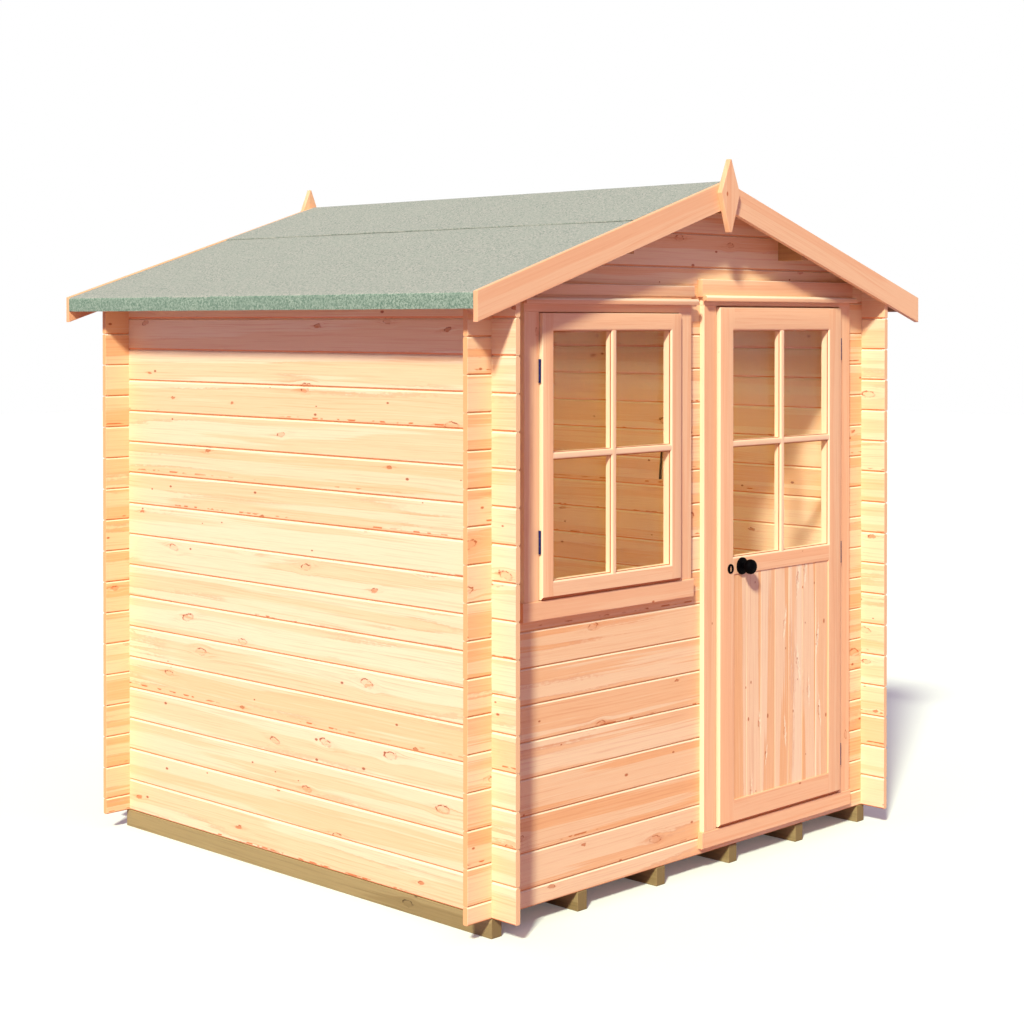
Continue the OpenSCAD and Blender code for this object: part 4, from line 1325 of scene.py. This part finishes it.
def sash_hinges():
    low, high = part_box("window_hinges")
    radius = 0.004
    x, y = low.x + radius, low.y + radius
    plate_x = sash_low.x - SASH_GAP / 2
    gap = 0.0003
    third = SASH_HINGE_H / 3
    parts = []
    for z0 in (low.z, high.z - SASH_HINGE_H):
        for i in range(3):
            parts.append(rod("knuckle", x, y, z0 + i * third + gap,
                             z0 + (i + 1) * third - gap, 2 * radius))
        parts.append(hinge_plate((plate_x - 0.001, y, z0 + 0.001),
                                 (plate_x + 0.001, high.y, z0 + SASH_HINGE_H - 0.001)))
    hang_metal("window_hinge_pairs", parts, "window_hinges")


def window_stay():
    """Casement fastener: a plate, a stub and a curved handle."""
    low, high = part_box("window_stay")
    x = (low.x + high.x) / 2
    plate_t = 0.003
    half_handle = 0.006
    stub_z = high.z - 0.045
    head_z = stub_z + 0.008
    plate = soften(block("plate", (low.x, low.y, high.z - 0.074),
                         (high.x, low.y + plate_t, high.z)))
    stub = turned("stub", [(0, 0.0055), (0.006, 0.0050), (0.012, 0.0045)],
                  (x, low.y + plate_t, stub_z), 1, 20)
    handle = block("handle", (x - half_handle, high.y - half_handle, low.z),
                   (x + half_handle, high.y, head_z))
    choose(handle, "FACE", lambda face: face.normal.z > 0.9)
    bpy.ops.transform.translate(value=(0, -0.008, 0))
    bpy.ops.transform.resize(value=(0.6, 0.8, 1),
                             center_override=(x, high.y - 0.011, head_z))
    leave()
    soften(handle, 0.0024, 3)
    hang_metal("window_fastener", [plate, stub, handle], "window_stay", angle=40)


# Door knob: the same turned outline of (distance from the leaf, radius) on both faces
ROSE_OUTLINE = [(0, 0.0300), (0.0035, 0.0300), (0.0052, 0.0292), (0.0066, 0.0272),
                (0.0075, 0.0240), (0.0080, 0.0196), (0.0080, 0.0090)]
KNOB_OUTLINE = [(0.0085, 0.0090), (0.0160, 0.0088), (0.0190, 0.0102), (0.0212, 0.0142),
                (0.0238, 0.0194), (0.0276, 0.0234), (0.0326, 0.0254), (0.0384, 0.0259),
                (0.0444, 0.0250), (0.0488, 0.0226), (0.0524, 0.0180), (0.0547, 0.0117),
                (0.0558, 0.0048), (0.0560, 0.0)]


def knob_set():
    roses, knobs = [], []
    clear = KNOB_OUTLINE[0][0]
    outline = [(along - clear, radius) for along, radius in KNOB_OUTLINE]
    for face_y, toward in ((leaf_low.y, -1), (leaf_high.y, 1)):
        roses.append(turned("rose", ROSE_OUTLINE, (knob_at.x, face_y, knob_at.z), toward, 48))
        start = (knob_at.x, face_y + toward * clear, knob_at.z)
        knobs.append(turned("knob", outline, start, toward, 48))
    deselect()
    bpy.ops.mesh.primitive_cylinder_add(
        vertices=24, radius=0.005, depth=LEAF_T + 0.018,
        location=(knob_at.x, (leaf_low.y + leaf_high.y) / 2, knob_at.z),
        rotation=(math.radians(90), 0, 0))
    knobs.append(soften(settle(added("spindle")), 0.0004, 1))
    hang_metal("knob_rose_pair", roses, "knob_roses", "door", 35)
    hang_metal("knob_pair", knobs, "door_knob", "knob", 35)


def keyhole_ring():
    """A round plate with a keyhole slot, rounded towards its rim."""
    low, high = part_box("keyhole_ring")
    centre = Vector(((low.x + high.x) / 2, high.y, (low.z + high.z) / 2))
    radius = (high.x - low.x) / 2
    plate = turned("plate", [(0, radius), (0.0012, radius), (0.0024, radius - 0.0014),
                             (0.0030, radius - 0.0036), (0.0030, radius - 0.008)],
                   centre, -1, 48)
    half_w, half_h = 0.0052, 0.0102
    slot = block("slot", (centre.x - half_w, low.y - THROUGH, centre.z - half_h),
                 (centre.x + half_w, high.y + THROUGH, centre.z + half_h))
    cut_along(slot, 1, half_w - 0.0001, steps=8)
    carve(plate, slot)
    discard(slot)
    hang_metal("keyhole_plate", [plate], "keyhole_ring", "door")


door_hinges()
sash_hinges()
window_stay()
knob_set()
keyhole_ring()

# ---------------------------------------------------------------- light, floor and camera

def pale_floor():
    """A plain pale floor. The light that it throws back is dimmer than what is seen of it."""
    deselect()
    bpy.ops.mesh.primitive_plane_add(size=60, location=(0, 0, 0))
    ground = added("studio_floor")
    material, b, shader, _ = new_material("pale_floor")
    seen = b.seen()
    b.feed_all(shader, {
        "Base Color": b.mixed(seen, (0.42, 0.27, 0.36, 1), (0.88, 1.0, 0.85, 1)),
        "Emission Color": (1, 1, 1, 1), "Emission Strength": seen * 0.08,
        "Roughness": 0.9, "Specular IOR Level": 0.1})
    finish_with(ground, material)


def light_world():
    """Soft fill for the object, and plain white where the camera sees past it."""
    world = bpy.data.worlds.new("studio")
    bpy.context.scene.world = world
    world.use_nodes = True
    b = Bench(world.node_tree)
    fill = world.node_tree.nodes["Background"]
    b.feed_all(fill.inputs, {"Color": (0.86, 0.61, 1.0, 1), "Strength": 0.39})
    white = b.wire("Background", 0, {"Color": (1, 1, 1, 1), "Strength": 1.0})
    b.feed(world.node_tree.nodes["World Output"].inputs["Surface"],
           b.wire("MixShader", 0, {0: b.seen(), 1: fill.outputs[0], 2: white}))


def add_sun():
    side = math.radians(59)      # turn of the sun from straight ahead of the front, to the left
    rise = math.radians(37.1)
    level = math.cos(rise)
    from_sun = Vector((math.sin(side) * level, math.cos(side) * level, -math.sin(rise)))
    deselect()
    bpy.ops.object.light_add(type="SUN", location=-from_sun * 10)
    sun = added("key_light")
    sun.rotation_euler = from_sun.to_track_quat("-Z", "Y").to_euler()
    sun.data.energy = 4.4
    sun.data.color = (1.0, 0.965, 0.87)
    sun.data.angle = math.radians(6)


def add_room_lamp():
    """Soft warm light inside the room, so that its walls show through the panes."""
    deselect()
    bpy.ops.object.light_add(type="AREA", location=(0, 0, BASE + 1.7))
    lamp = added("room_light")
    lamp.data.shape = "RECTANGLE"
    lamp.data.size, lamp.data.size_y = 1.5, 1.4
    lamp.data.energy = 8
    lamp.data.color = (1.0, 0.76, 0.28)
    lamp.visible_camera = False
    lamp.visible_glossy = False


def add_camera():
    turn = math.radians(44.368)      # direction of view, from +X towards +Y
    tilt = math.tan(math.radians(0.6))      # down from level
    camera = bpy.data.cameras.new("view")
    camera.lens = 68.32
    camera.sensor_width = 36
    camera.shift_y = -0.1849 + tilt * camera.lens / camera.sensor_width
    holder = bpy.data.objects.new("view", camera)
    bpy.context.scene.collection.objects.link(holder)
    holder.location = (-5.1785, -5.1441, 1.8828)
    aim = Vector((math.cos(turn), math.sin(turn), -tilt))
    holder.rotation_euler = aim.to_track_quat("-Z", "Y").to_euler()
    bpy.context.scene.camera = holder


pale_floor()
light_world()
add_sun()
add_room_lamp()
add_camera()
bpy.context.scene.view_settings.view_transform = "Standard"
